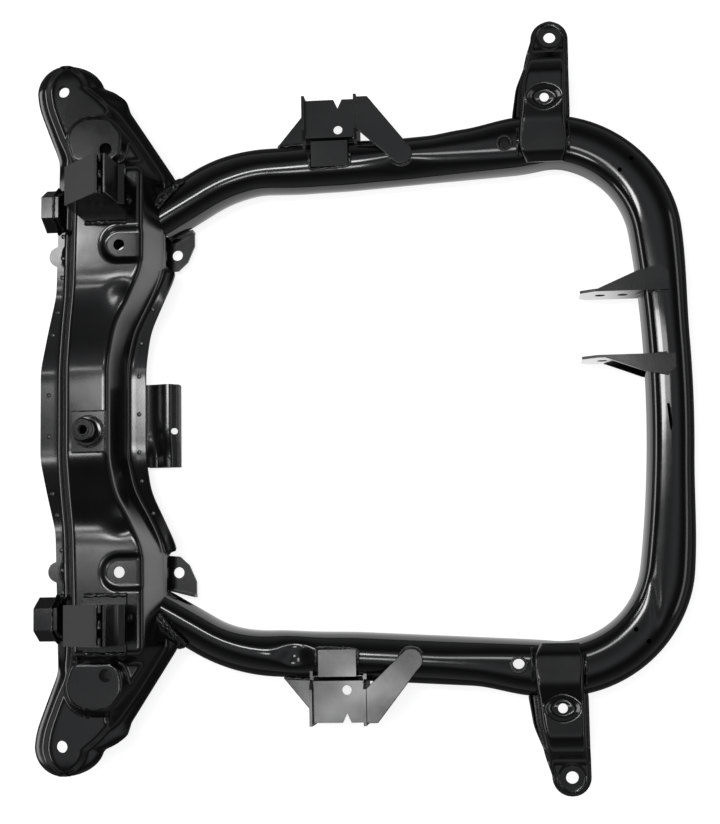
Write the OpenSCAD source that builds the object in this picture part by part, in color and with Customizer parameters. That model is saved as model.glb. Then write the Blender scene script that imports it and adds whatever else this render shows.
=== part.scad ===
// Car subframe: a pressed box cross member, a bent tube loop and welded arms, brackets and ears.
// +X points to the front of the tube loop, +Y to the left side, and Z = 0 is the ground it lies on.

/* [Overall] */
// Length from the rear edge of the cross member to the front of the tube
frame_l = 712; // [700:1:724]
// Distance between the two rear body mount holes
rear_span = 718; // [706:2:734]
// Distance between the two front body mount holes
front_span = 790; // [780:2:800]
// Distance from the rear to the front body mount holes
mount_base = 539; // [532:1:546]
// Diameter of the body mount holes
body_hole_d = 13; // [11:0.5:15]
// Height of the body mount pads
pad_z = 48; // [46:0.5:51]
// Thickness of the rings welded under the body mount pads
ring_t = 4; // [3:0.5:4.5]
// Gap left for the weld between two pieces
weld_gap = 0.2; // [0.1:0.05:0.3]

/* [Cross member] */
// Sheet thickness of the pressed shells
sheet_t = 2.5; // [2:0.1:3]
// Width over the flanges where the tube enters
member_w = 156; // [150:1:160]
// Width over the flanges in the middle
mid_w = 118; // [112:1:124]
// Height of the top face at the sides
member_top_z = 85; // [80:0.5:92]
// Height of the top face in the low middle part
mid_top_z = 62; // [56:0.5:68]
// Height of the shoulders that carry the bush seats
shoulder_z = 66; // [63:0.5:69]
// Height of the flange seam at the sides
seam_z = 39; // [37:0.5:40]
// Height of the flange seam in the middle
mid_seam_z = 20; // [16:0.5:24]
// Length of the low middle part
mid_l = 100; // [90:1:110]
// Length of the ramp on each side of it
ramp_l = 80; // [70:1:90]
// Width of the welded flange at the sides
flange_w = 13; // [11:0.5:15]
// Width of the welded flange in the middle
mid_flange_w = 19; // [15:0.5:22]
// Width of the rim round the wings
wing_rim_w = 10; // [8:0.5:12]
// Radius of the wing tip round the body mount hole, towards the rear
wing_tip_r = 32; // [29:0.5:35]
// Reach of the wing tip from the body mount hole, towards the front
wing_front_r = 40; // [37:0.5:43]
// Height of the wing floor under the body mount
wing_floor_z = 32; // [30:0.5:33]
// Bend radius of the pressed edges
press_r = 8; // [6:0.5:10]
// Depth of the waist in the rear edge, between the middle and the wings
waist_d = 26; // [22:0.5:30]
// Distance from the tube end to the root of the wing
wing_root = 32; // [30:0.5:34]
// Distance over which a wing drops from the top face to the body mount pad
wing_drop_l = 24; // [20:0.5:28]
// Distance from the drop to the body mount hole
wing_pad_l = 17; // [15:0.5:19]

/* [Seats in the top face] */
// Distance of the bush bolts inside the rear body mounts
bush_in = 76; // [72:0.5:80]
// Distance of the bush bolts in front of the rear body mounts
bush_ahead = 55; // [52:1:57]
// Diameter of the bush bolt holes
bush_hole_d = 14; // [12:0.5:16]
// Radius of the raised bush seat
bush_seat_r = 26; // [24:0.5:27]
// Height of the bush seat above the shoulder it stands on
bush_seat_h = 11; // [8:0.5:13]
// Outer diameter of the bush bolt sleeve
bush_sleeve_od = 17; // [16:0.5:18]
// Distance of the access holes behind the front flange
access_back = 40; // [36:1:42]
// Distance between the two access holes
access_span = 351; // [345:1:357]
// Diameter of the access holes
access_hole_d = 12; // [9:0.5:15]
// Radius of the round seat at an access hole
access_seat_r = 19; // [16:0.5:20]
// Depth of the round seat at an access hole
access_seat_depth = 6; // [4:0.5:8]

/* [Tube loop] */
// Outer diameter of the tube
tube_od = 50; // [48:0.5:52]
// Wall of the tube
tube_wall = 2.5; // [2:0.1:4]
// Radius of the bowed front run
bow_r = 1330; // [1200:10:1500]
// Bend radius of the two front corners
corner_r = 115; // [108:1:122]
// Half width of the loop behind the front corners, to the middle of the tube
corner_y = 281; // [278:0.5:284]
// Angle by which the side runs close in towards the rear
side_taper = 3.35; // [2.6:0.05:4]
// Bend radius where the tube turns into the cross member
entry_r = 170; // [150:2:190]
// Angle at which the tube enters the cross member
entry_angle = 30; // [28:0.5:32]
// Half distance between the tube ends at the cross member
entry_y = 224; // [221:0.5:227]
// Length of tube held inside the cross member
entry_depth = 14; // [10:0.5:18]
// Reach of the pressed collar along the tube
collar_l = 16; // [12:0.5:20]
// Inner diameter of the sleeves through the tube
tube_sleeve_id = 12.5; // [10:0.5:14]
// Wall of the sleeves through the tube
tube_sleeve_wall = 2.75; // [2:0.25:4]
// Distance of the tube sleeves behind the front body mounts
tube_sleeve_back = 52; // [48:1:56]

/* [Front arms] */
// Width of the arms beside the tube
arm_w = 63; // [58:1:68]
// Width of the tongue that lies on the tube
arm_tongue_w = 41; // [36:1:46]
// Radius of the arm tip round the body mount hole
arm_tip_r = 20; // [18.5:0.5:22]
// Height of the raised middle of the arms
arm_top_z = 70; // [66:0.5:76]
// Height of the arm seam beside the tube
arm_seam_z = 30; // [27:0.5:32]
// Height of the arm seam at the tip
arm_tip_seam_z = 37; // [35:0.5:39]
// Depth of the lower arm pressing beside the tube
arm_floor_depth = 8; // [6:0.5:10]
// Depth of the lower arm pressing at the tip
arm_tip_depth = 4; // [3.6:0.1:4.4]
// Flange of the arm pressings
arm_flange_w = 6; // [5:0.5:7]
// Bend radius of the pressed edges of the arms
arm_press_r = 5; // [4:0.5:6]
// Distance from the body mount hole to the bend in the arm
arm_pad_l = 19; // [17:0.5:21]
// Distance over which an arm drops from its raised middle to the body mount pad
arm_drop_l = 26; // [22:0.5:30]
// Reach of the tongue over the tube, inwards from its middle
arm_tongue_in = 29; // [24:0.5:32]
// Distance from the tube to the hole in the middle of the arms
arm_hole_out = 17; // [14:0.5:20]
// Diameter of the hole in the middle of the arms
arm_hole_d = 10; // [8:0.5:12]

/* [Brackets] */
// Plate thickness of the brackets
plate_t = 3; // [2.5:0.1:3.5]
// Width of the control arm brackets
control_w = 60; // [56:1:66]
// Middle of the control arm brackets, behind the middle of the frame
control_back = 27; // [24:1:30]
// Distance between the outer edges of the control arm brackets
control_span = 680; // [672:2:690]
// Height of the web of the control arm brackets
control_web_z = 44; // [42:0.5:46]
// Distance between the control arm bolts, left to right
control_bolt_span = 636; // [630:2:642]
// Height of the control arm bolts
control_bolt_z = 20; // [17:0.5:22]
// Diameter of the control arm bolt holes
control_bolt_d = 12.4; // [10:0.2:13]
// Reach of the brace straps in front of the control arm brackets
brace_l = 48; // [44:1:52]
// Radius of the round end of the brace straps
brace_end_r = 12; // [10:0.5:14]
// Width of the brace straps at the control arm brackets
brace_root_w = 36; // [32:1:40]
// Width across the flats of the weld nuts
nut_af = 18; // [17:0.5:20]
// Thickness of the weld nuts
nut_t = 10; // [8:0.5:12]
// Diameter of the hole in the web of the control arm brackets
web_hole_d = 10; // [8:0.5:12]
// Height of the ridge of the steering brackets
tower_z = 178; // [165:1:186]
// Length of the steering brackets along the frame
tower_l = 54; // [50:1:58]
// Width of the steering brackets over their sides
tower_w = 42; // [38:1:46]
// Distance of the steering brackets from the rear edge of the cross member
tower_ahead = 58; // [55:0.5:60]
// Distance between the middles of the two steering brackets
tower_span = 460; // [454:2:464]
// Width of the channels behind the steering brackets
nose_w = 48; // [42:1:52]
// Height of the channels behind the steering brackets
nose_h = 23; // [18:0.5:28]
// Distance of the left channel ahead of the rear edge of the cross member
nose_in_left = 12; // [9:0.5:15]
// Distance of the right channel ahead of the rear edge of the cross member
nose_in_right = 5.5; // [3:0.5:8]
// Distance of the anti-roll bar holes inside the tube ends
roll_bar_in = 48; // [45:0.5:51]
// Diameter of the anti-roll bar holes
roll_bar_hole_d = 12; // [10:0.5:14]
// Height of the anti-roll bar ears
roll_bar_z = 10; // [7:0.5:14]
// Width of the torque mount bracket
torque_w = 91; // [84:1:96]
// Reach of the torque mount bracket from the flange
torque_reach = 36; // [33:0.5:40]
// Diameter of the hole in the torque mount bracket
torque_hole_d = 7; // [6:0.5:8]
// Diameter of the centre boss
boss_d = 25; // [22:0.5:28]
// Height of the centre boss
boss_h = 24; // [20:1:28]
// Diameter of the threaded hole in the centre boss
boss_hole_d = 7; // [6:0.5:8]
// Diameter of the locating studs
stud_d = 10; // [8:0.5:11]

/* [Front mount ears] */
// Place of the outer ear, left of the middle
ear_outer_y = 112; // [108:1:116]
// Place of the inner ear, left of the middle
ear_inner_y = 44; // [40:1:48]
// Reach of the ears behind the middle of the tube
ear_reach = 92; // [86:1:98]
// Diameter of the mount bolt through both ears
ear_hole_d = 11; // [9:0.5:13]
// Height of the mount bolt through both ears
ear_hole_z = 28; // [25:0.5:31]
// Distance of the mount bolt from the tips of the ears
ear_hole_in = 22; // [19:0.5:25]
// Distance from the mount bolt to the second hole of the outer ear
ear_hole_pitch = 24; // [21:0.5:27]
// Width of the flanges of the outer ear
ear_outer_flange = 27; // [24:0.5:30]
// Width of the flanges of the inner ear
ear_inner_flange = 23; // [20:0.5:26]
// Distance from the tip of the outer ear to its flanges
ear_outer_in = 18; // [16:0.5:20]
// Distance from the tip of the inner ear to its flanges
ear_inner_in = 24; // [22:0.5:26]

/* [Hidden] */
$fn = 64;
paint = "#1b1c1e";
eps = 1;

// Main lines of the frame
rear_x = -frame_l / 2;
joint_x = rear_x + member_w;
wing_x = rear_x + wing_tip_r;
wing_y = rear_span / 2;
arm_x = wing_x + mount_base;
arm_y = front_span / 2;
bush_x = wing_x + bush_ahead;
bush_y = wing_y - bush_in;
bush_seat_z = shoulder_z + bush_seat_h;
access_x = joint_x - flange_w - access_back;
access_y = access_span / 2;

// Tube loop: bow, corner, side run, entry bend and end, each starting where the last one ends
tube_r = tube_od / 2;
tube_z = tube_r;
front_x = frame_l / 2 - tube_r;
bow_a = asin((corner_y - corner_r * cos(side_taper)) / (bow_r - corner_r));
bow_c = [front_x - bow_r, 0];
corner_c = bow_c + (bow_r - corner_r) * [cos(bow_a), sin(bow_a)];
corner_end = corner_c + corner_r * [-sin(side_taper), cos(side_taper)];
entry_p = [joint_x, entry_y];
entry_dir = [cos(entry_angle), sin(entry_angle)];
bend_tan = entry_r * tan((entry_angle - side_taper) / 2);
bend_x = (corner_end.y - corner_end.x * tan(side_taper) - entry_y + joint_x * tan(entry_angle))
       / (tan(entry_angle) - tan(side_taper));
bend_p = [bend_x, entry_y + (bend_x - joint_x) * tan(entry_angle)];
side_end = bend_p + bend_tan * [cos(side_taper), sin(side_taper)];
bend_end = bend_p - bend_tan * entry_dir;
bend_c = side_end + entry_r * [sin(side_taper), -cos(side_taper)];
fit_r = tube_r + weld_gap;
tube_sides = 24;
half_turns = concat(
    [for (i = [0:4]) [bow_c, bow_r, bow_a * i / 4]],
    [for (i = [1:8]) [corner_c, corner_r, bow_a + (90 + side_taper - bow_a) * i / 8]],
    [for (i = [0:4]) [bend_c, entry_r, 90 + side_taper + (entry_angle - side_taper) * i / 4]]
);

// Middle of the tube on the side run, and on the bowed front run
function side_y(x) = corner_end.y - (corner_end.x - x) * tan(side_taper);
function bow_x(y) = bow_c.x + sqrt(bow_r * bow_r - y * y);

// Pressed section: flanges, drafted walls and a flat top, with rounded edges
wall_draft = 0.35;
wall_n = norm([wall_draft, 1]);
wall_turn = atan2(1, wall_draft);
least_h = 1;

function unit(v) = v / norm(v);
function reverse(list) = [for (i = [len(list) - 1:-1:0]) list[i]];
function edge(c, u, v, l) = [c - l * u, c + l * tan(wall_turn / 4) * unit(v - u), c + l * v];

function hat(x0, x1, rim, h, out, foot_r, top_r) =
    let (
        k = out * (wall_n - wall_draft),
        run = wall_draft * h,
        turn = tan(wall_turn / 2),
        top_w = x1 - x0 - 2 * rim - 2 * run,
        foot_l = min(foot_r * turn, 0.45 * h * wall_n, 0.7 * rim),
        top_l = min(top_r * turn, 0.45 * h * wall_n, 0.4 * top_w),
        across = [1, 0],
        up = [wall_draft, 1] / wall_n,
        down = [wall_draft, -1] / wall_n,
        foot_0 = [x0 + rim - k, out],
        top_0 = [x0 + rim + run - k, h + out],
        top_1 = [x1 - rim - run + k, h + out],
        foot_1 = [x1 - rim + k, out]
    )
    concat([[x0, out]],
           edge(foot_0, across, up, foot_l), edge(top_0, up, across, top_l),
           edge(top_1, across, down, top_l), edge(foot_1, down, across, foot_l),
           [[x1, out]]);

// One ring of a pressed sheet at station y with bend radius r; way is 1 for an upper shell, -1 for a lower
function ring(y, x0, x1, rim, h, base, way, r) =
    let (
        outer = hat(x0, x1, rim, h, sheet_t, r - sheet_t, r),
        inner = hat(x0, x1, rim, h, 0, r, r - sheet_t),
        loop = concat(outer, reverse(inner))
    )
    [for (p = way > 0 ? loop : reverse(loop)) [p.x, y, base + way * p.y]];

module loft(rings) {
    n = len(rings[0]);
    m = len(rings);
    end = (m - 1) * n;
    caps = [
        for (j = [0:n / 2 - 2])
            let (k = n - 1 - j)
                each [
                    [j, j + 1, k - 1],
                    [j, k - 1, k],
                    [end + k - 1, end + j + 1, end + j],
                    [end + k, end + k - 1, end + j]
                ]
    ];
    sides = [
        for (i = [0:m - 2], j = [0:n - 1])
            let (a = i * n + j, b = i * n + (j + 1) % n)
                each [[b, a, a + n], [b, a + n, b + n]]
    ];
    polyhedron(points = [for (r = rings) each r], faces = concat(caps, sides));
}

// Outline and heights of the cross member along its half width y
mid_y = mid_l / 2;
ramp_y = mid_y + ramp_l;
shoulder_y = ramp_y + ramp_l / 4;
wing_root_y = entry_y + wing_root;
drop_y = wing_root_y + wing_root / 6;
low_y = drop_y + wing_drop_l / 3;
pad_y = wing_y - wing_pad_l;
step_y = pad_y - wing_drop_l;
neck_y = step_y - wing_drop_l / 2;
waist_y = (low_y + neck_y) / 2;
cut_y = wing_y - wing_pad_l / 2;
tip_flat = 0.56 * wing_tip_r;
tip_end = 0.85 * wing_tip_r;
rear_line = [
    [mid_y, rear_x],
    [mid_y + 0.5 * ramp_l, rear_x + 0.42 * waist_d],
    [ramp_y, rear_x + 0.88 * waist_d],
    [wing_root_y, rear_x + waist_d],
    [waist_y, rear_x + waist_d],
    [neck_y, rear_x + 0.62 * waist_d],
    [pad_y, rear_x + 0.1 * waist_d],
    [wing_y, rear_x]
];
front_line = [
    [mid_y, rear_x + mid_w],
    [mid_y + 0.48 * ramp_l, rear_x + mid_w + 0.2 * (member_w - mid_w)],
    [mid_y + 0.84 * ramp_l, joint_x - 0.4 * (member_w - mid_w)],
    [shoulder_y, joint_x],
    [wing_root_y, joint_x],
    [cut_y, wing_x + 0.67 * (joint_x - wing_x) - wing_tip_r / 2],
    [wing_y, wing_x + wing_front_r]
];
rim_line = [[mid_y, mid_flange_w], [ramp_y, flange_w], [wing_root_y, flange_w], [neck_y, wing_rim_w]];
seam_line = [[mid_y, mid_seam_z], [ramp_y, seam_z]];
top_line = [
    [mid_y, mid_top_z],
    [ramp_y, member_top_z],
    [drop_y, member_top_z],
    [low_y, shoulder_z],
    [step_y, shoulder_z],
    [pad_y, pad_z],
    [wing_y + tip_flat, pad_z],
    [wing_y + tip_end, seam_z + sheet_t + least_h]
];
floor_line = [
    [neck_y, 0],
    [pad_y, wing_floor_z],
    [wing_y + tip_flat, wing_floor_z],
    [wing_y + tip_end, seam_z - sheet_t - least_h]
];

function tip_part(y) = sqrt(1 - pow((y - wing_y) / wing_tip_r, 2));
function member_rear(y) = y > wing_y ? wing_x - wing_tip_r * tip_part(y) : lookup(y, rear_line);
function member_front(y) = y > wing_y ? wing_x + wing_front_r * tip_part(y) : lookup(y, front_line);
function member_rim(y) = min(lookup(y, rim_line), 0.3 * (member_front(y) - member_rear(y)));
function upper_h(y) = lookup(y, top_line) - lookup(y, seam_line) - sheet_t;
function lower_h(y) = lookup(y, seam_line) - lookup(y, floor_line) - sheet_t - weld_gap;

function half_stations(extra) = concat(
    [for (part = [0, 0.25, 0.48, 0.66, 0.84, 1]) mid_y + part * ramp_l],
    [shoulder_y, wing_root_y],
    extra,
    [waist_y, neck_y],
    [for (part = [0, 0.33, 0.67, 1]) step_y + part * wing_drop_l],
    [cut_y, wing_y],
    [for (a = [16, 34, 46, 58, 70, 80]) wing_y + wing_tip_r * sin(a)]
);
function mirrored(half) = concat([for (y = reverse(half)) -y], half);

upper_rings = [
    for (s = mirrored(half_stations([drop_y, low_y])))
        let (y = abs(s))
            ring(s, member_rear(y), member_front(y), member_rim(y), upper_h(y),
                 lookup(y, seam_line), 1, press_r)
];
lower_rings = [
    for (s = mirrored(half_stations([])))
        let (y = abs(s))
            ring(s, member_rear(y), member_front(y), member_rim(y), lower_h(y),
                 lookup(y, seam_line) - weld_gap, -1, press_r)
];

// Front face of the lower shell at station y and height z
function lower_front(y, z) =
    member_front(y) - member_rim(y) + sheet_t * (wall_n - wall_draft)
    - wall_draft * (lookup(y, seam_line) - weld_gap - sheet_t - z);

// Outline and heights of the front arms along y
tongue_y = corner_y - arm_tongue_in;
lift_y = corner_y + 0.6 * tube_r;
root_y = corner_y + 1.24 * tube_r;
crown_y = corner_y + 1.4 * tube_r;
bend_y = arm_y - arm_pad_l;
arm_step_y = bend_y - arm_drop_l;
arm_mid_y = (root_y + bend_y) / 2;
seam_drop_y = bend_y - arm_pad_l / 2;
seam_end_y = bend_y + arm_pad_l / 5;
tongue_x = arm_x - 0.4 * arm_tip_r;
tongue_z = tube_od + weld_gap;
arm_rear_line = [
    [lift_y, tongue_x - arm_tongue_w / 2],
    [root_y, arm_x + arm_tip_r - arm_w],
    [arm_mid_y, arm_x + arm_tip_r - 0.92 * arm_w],
    [bend_y, arm_x - 1.15 * arm_tip_r],
    [arm_y, arm_x - arm_tip_r]
];
arm_front_line = [
    [lift_y, tongue_x + arm_tongue_w / 2],
    [root_y, arm_x + arm_tip_r],
    [arm_y, arm_x + arm_tip_r]
];
arm_seam_line = [
    [lift_y, tongue_z],
    [root_y, arm_seam_z],
    [seam_drop_y, arm_seam_z],
    [seam_end_y, arm_tip_seam_z]
];
arm_tip_flat = 0.56 * arm_tip_r;
arm_tip_end = 0.9 * arm_tip_r;
arm_top_line = [
    [lift_y, tongue_z + sheet_t + least_h],
    [crown_y, arm_top_z],
    [arm_step_y, arm_top_z],
    [arm_step_y + 0.5 * arm_drop_l, 0.7 * arm_top_z + 0.3 * pad_z],
    [bend_y, pad_z],
    [arm_y + arm_tip_flat, pad_z],
    [arm_y + arm_tip_end, arm_tip_seam_z + sheet_t + least_h]
];
arm_floor_line = [
    [seam_drop_y, arm_floor_depth],
    [seam_end_y, arm_tip_depth],
    [arm_y + arm_tip_flat, arm_tip_depth],
    [arm_y + arm_tip_end, sheet_t + least_h]
];

function arm_tip_part(y) = sqrt(1 - pow((y - arm_y) / arm_tip_r, 2));
function arm_rear(y) = y > arm_y ? arm_x - arm_tip_r * arm_tip_part(y) : lookup(y, arm_rear_line);
function arm_front(y) = y > arm_y ? arm_x + arm_tip_r * arm_tip_part(y) : lookup(y, arm_front_line);
function arm_rim(y) = min(arm_flange_w, 0.3 * (arm_front(y) - arm_rear(y)));
function arm_upper_h(y) = lookup(y, arm_top_line) - lookup(y, arm_seam_line) - sheet_t;
function arm_lower_h(y) = lookup(y, arm_floor_line) - sheet_t;

arm_tip_stations = [for (a = [0, 20, 34, 50, 64, 76]) arm_y + arm_tip_r * sin(a)];
arm_lower_stations = concat([root_y, arm_mid_y, seam_drop_y, seam_end_y], arm_tip_stations);
arm_upper_stations = concat(
    [tongue_y, lift_y, (lift_y + root_y) / 2, root_y, crown_y],
    [for (part = [0, 0.5, 0.75, 1]) arm_step_y + part * arm_drop_l],
    [seam_end_y],
    arm_tip_stations
);

// Rings that fit the flats inside the wing and arm tips, and the socket holes under them
function flat_r(tip_r, rim, h, bend_r) = tip_r - rim - wall_draft * h - (bend_r - sheet_t) * tan(wall_turn / 2);
wing_ring_r = flat_r(wing_tip_r, wing_rim_w, pad_z - seam_z, press_r) - weld_gap;
arm_ring_r = flat_r(arm_tip_r, arm_flange_w, pad_z - arm_tip_seam_z, arm_press_r) - weld_gap;
wing_socket_d = 2 * wing_ring_r + 1;
arm_socket_d = 2 * arm_ring_r + 4;
arm_hole_p = [tongue_x, corner_y + tube_r + arm_hole_out];

// Shared shapes
module on_side(side) {
    if (side > 0)
        children();
    else
        mirror([0, 1, 0])
            children();
}

module both_sides() {
    children();
    mirror([0, 1, 0])
        children();
}

module hole(p, d, z0, z1) {
    translate([p.x, p.y, z0])
        cylinder(d = d, h = z1 - z0);
}

module sleeve(p, od, id, z0, z1) {
    difference() {
        hole(p, od, z0, z1);
        hole(p, id, z0 - eps, z1 + eps);
    }
}

module block(low, high) {
    translate(low)
        cube(high - low);
}

module plate(points, z0, t) {
    translate([0, 0, z0])
        linear_extrude(t)
            polygon(points);
}

// Plate standing along X, its outline given as [x, z], from y to y + t
module side_plate(points, y, t) {
    translate([0, y + t, 0])
        rotate([90, 0, 0])
            linear_extrude(t)
                polygon(points);
}

// Plate standing along Y, its outline given as [y, z], from x to x + t
module cross_plate(points, x, t) {
    translate([x, 0, 0])
        rotate([90, 0, 90])
            linear_extrude(t)
                polygon(points);
}

module pipe_run(p, q, r) {
    d = q - p;
    translate([p.x, p.y, tube_z])
        rotate(atan2(d.y, d.x))
            rotate([0, 90, 0])
                cylinder(r = r, h = norm(d));
}

// The loop as one sweep; each turn is a bend centre, a bend radius and the angle reached
module swept_loop(r, extra) {
    end = [entry_p - (entry_depth + extra) * entry_dir, 0, 90 + entry_angle];
    half = concat(half_turns, [end]);
    other = [for (i = [len(half) - 1:-1:1]) [[half[i][0].x, -half[i][0].y], half[i][1], -half[i][2]]];
    loft([
        for (turn = concat(other, half))
            let (e = [cos(turn[2]), sin(turn[2])], p = turn[0] + turn[1] * e)
                [
                    for (i = [0:tube_sides - 1])
                        let (t = -360 * i / tube_sides, q = p + r * cos(t) * e)
                            [q.x, q.y, tube_z + r * sin(t)]
                ]
    ]);
}

module entry_pipe(r, inside, outside) {
    pipe_run(entry_p - inside * entry_dir, entry_p + outside * entry_dir, r);
}

// Half round collar of a shell over the tube end, between two heights
module entry_collar(z0, z1) {
    reach = 100;
    intersection() {
        difference() {
            entry_pipe(fit_r + sheet_t, entry_depth, collar_l);
            entry_pipe(fit_r, entry_depth + eps, collar_l + eps);
        }
        block([joint_x - reach, entry_y - reach, z0], [joint_x + reach, entry_y + reach, z1]);
    }
}

// Round bush seat with one flat side, placed so that the bolt sleeve just fits under it
module bush_seat(r, z0, z1) {
    sleeve_r = bush_sleeve_od / 2 + weld_gap;
    middle = [bush_x, bush_y] + (bush_seat_r - sheet_t - sleeve_r) * unit([-10, 11]);
    flat_y = bush_y - sleeve_r - r + bush_seat_r - sheet_t - least_h;
    intersection() {
        hole(middle, 2 * r, z0, z1);
        block([middle.x - 2 * r, flat_y, z0], [middle.x + 2 * r, flat_y + 4 * r, z1]);
    }
}

module access_seat(r, z0, z1) {
    hole([access_x, access_y], 2 * r, z0, z1);
}

// Cross member
module upper_shell() {
    lip = sheet_t / 2;
    bush_foot = shoulder_z - sheet_t;
    access_floor = member_top_z - access_seat_depth;
    tab_y = access_y - 2;
    color(paint)
        difference() {
            union() {
                difference() {
                    loft(upper_rings);
                    both_sides() {
                        bush_seat(bush_seat_r - lip, bush_foot - sheet_t, bush_seat_z);
                        access_seat(access_seat_r - lip, access_floor - sheet_t - eps, member_top_z + eps);
                        entry_pipe(fit_r + lip, 2 * entry_depth, 4 * collar_l);
                    }
                }
                both_sides() {
                    bush_seat(bush_seat_r, bush_foot, bush_seat_z);
                    access_seat(access_seat_r, access_floor - sheet_t, member_top_z);
                    entry_collar(seam_z, tube_od + 2 * sheet_t);
                    hole([member_rear(tab_y) + 2, tab_y], 22, seam_z, seam_z + sheet_t);
                }
            }
            both_sides() {
                bush_seat(bush_seat_r - sheet_t, bush_foot - eps, bush_seat_z - sheet_t);
                access_seat(access_seat_r - sheet_t, access_floor, member_top_z + eps);
                hole([wing_x, wing_y], body_hole_d, seam_z, member_top_z);
                hole([bush_x, bush_y], bush_hole_d, seam_z, member_top_z);
                hole([access_x, access_y], access_hole_d, seam_z, member_top_z);
            }
        }
}

module lower_shell() {
    lip = sheet_t / 2;
    color(paint)
        difference() {
            union() {
                difference() {
                    loft(lower_rings);
                    both_sides()
                        entry_pipe(fit_r + lip, 2 * entry_depth, 4 * collar_l);
                }
                both_sides()
                    entry_collar(0, seam_z - weld_gap);
            }
            both_sides() {
                hole([wing_x, wing_y], wing_socket_d, -eps, seam_z);
                hole([bush_x, bush_y], bush_hole_d, -eps, seam_z);
                hole([access_x, access_y], 2 * access_hole_d, -eps, seam_z);
            }
        }
}

// Ring under a body mount pad, which the bolt clamps with the sheet
module pad_ring(p, r, side) {
    top = pad_z - sheet_t - weld_gap;
    color(paint)
        on_side(side)
            sleeve(p, 2 * r, body_hole_d, top - ring_t, top);
}

module wing_ring(side) {
    pad_ring([wing_x, wing_y], wing_ring_r, side);
}

module bush_spacer(side) {
    color(paint)
        on_side(side)
            sleeve([bush_x, bush_y], bush_sleeve_od, bush_hole_d,
                   sheet_t + weld_gap, bush_seat_z - sheet_t - weld_gap);
}

// Tube loop
module tube_loop() {
    drain_d = 5;
    drain_a = 44;
    drain_places = [-0.12, 0.6] * tube_r;
    color(paint)
        difference() {
            swept_loop(tube_r, 0);
            swept_loop(tube_r - tube_wall, eps);
            both_sides() {
                hole(tube_sleeve_p, tube_sleeve_od + 2 * weld_gap, -eps, tube_od + eps);
                for (out = drain_places)
                    hole(corner_c + (corner_r + out) * [cos(drain_a), sin(drain_a)], drain_d,
                         tube_z, tube_od + eps);
            }
        }
}

tube_sleeve_od = tube_sleeve_id + 2 * tube_sleeve_wall;
tube_sleeve_p = [arm_x - tube_sleeve_back, side_y(arm_x - tube_sleeve_back)];

module tube_sleeve(side) {
    color(paint)
        on_side(side)
            sleeve(tube_sleeve_p, tube_sleeve_od, tube_sleeve_id, 0, tube_od + weld_gap);
}

// Front arms
module arm_upper(side) {
    color(paint)
        on_side(side)
            difference() {
                loft([
                    for (y = arm_upper_stations)
                        ring(y, arm_rear(y), arm_front(y), arm_rim(y), arm_upper_h(y),
                             lookup(y, arm_seam_line), 1, arm_press_r)
                ]);
                hole([arm_x, arm_y], body_hole_d, 0, arm_top_z);
                hole(arm_hole_p, arm_hole_d, 0, 2 * arm_top_z);
            }
}

module arm_lower(side) {
    access_d = 2.8 * arm_hole_d;
    access_out = [0, 0.8 * arm_hole_d];
    color(paint)
        on_side(side)
            difference() {
                loft([
                    for (y = arm_lower_stations)
                        ring(y, arm_rear(y), arm_front(y), arm_rim(y), arm_lower_h(y),
                             lookup(y, arm_seam_line) - weld_gap, -1, arm_press_r)
                ]);
                hole([arm_x, arm_y], arm_socket_d, 0, arm_top_z);
                hole(arm_hole_p + access_out, access_d, 0, arm_top_z);
            }
}

module arm_ring(side) {
    pad_ring([arm_x, arm_y], arm_ring_r, side);
}

// Control arm brackets
control_x0 = -control_back - control_w / 2;
control_x1 = -control_back + control_w / 2;
control_y = control_span / 2;
control_bolt_y = control_bolt_span / 2;
control_tab_z = tube_od + weld_gap;

module control_bracket(side) {
    tab_inset = 10;
    tab_x0 = control_x0 + tab_inset;
    tab_x1 = control_x1 - tab_inset;
    middle_y = side_y(-control_back);
    tab_y = middle_y - 0.3 * tube_r;
    step_y = middle_y + 0.8 * tube_r;
    low_z = plate_t / 3;
    top_z = control_tab_z + plate_t;
    corner_cut = 10;
    rise_y = step_y + 14;
    ear = [
        [middle_y, low_z],
        [control_y - corner_cut, low_z],
        [control_y, low_z + corner_cut],
        [control_y, top_z],
        [rise_y, top_z],
        [rise_y - corner_cut, control_web_z],
        [middle_y, control_web_z]
    ];
    web_y = control_y - plate_t;
    hole_y = control_y - 37;
    notch_w = 12;
    notch_d = 13;
    notch_x = -control_back + 9;
    notch = [
        [notch_x - notch_w / 2, control_y],
        [notch_x, control_y - notch_d],
        [notch_x + notch_w / 2, control_y]
    ];
    color(paint)
        on_side(side)
            difference() {
                union() {
                    cross_plate(ear, control_x0, plate_t);
                    cross_plate(ear, control_x1 - plate_t, plate_t);
                    block([control_x0, step_y, control_web_z - plate_t], [control_x1, web_y, control_web_z]);
                    block([tab_x0, step_y, control_web_z - plate_t], [tab_x1, step_y + plate_t, top_z]);
                    block([tab_x0, tab_y, control_tab_z], [tab_x1, step_y + plate_t, top_z]);
                }
                pipe_run(corner_end, side_end, fit_r);
                hole([notch_x, hole_y], web_hole_d, 0, 2 * tube_od);
                plate(notch, control_web_z - 2 * plate_t, 3 * plate_t);
                control_bolt(control_bolt_d);
            }
}

module control_bolt(d) {
    translate([control_x0 - eps, control_bolt_y, control_bolt_z])
        rotate([0, 90, 0])
            cylinder(d = d, h = control_w + 2 * eps + 2 * nut_t);
}

module control_nut(side) {
    color(paint)
        on_side(side)
            difference() {
                translate([control_x1 + weld_gap, control_bolt_y, control_bolt_z])
                    rotate([0, 90, 0])
                        cylinder(d = nut_af / cos(30), h = nut_t, $fn = 6);
                control_bolt(control_bolt_d);
            }
}

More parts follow.
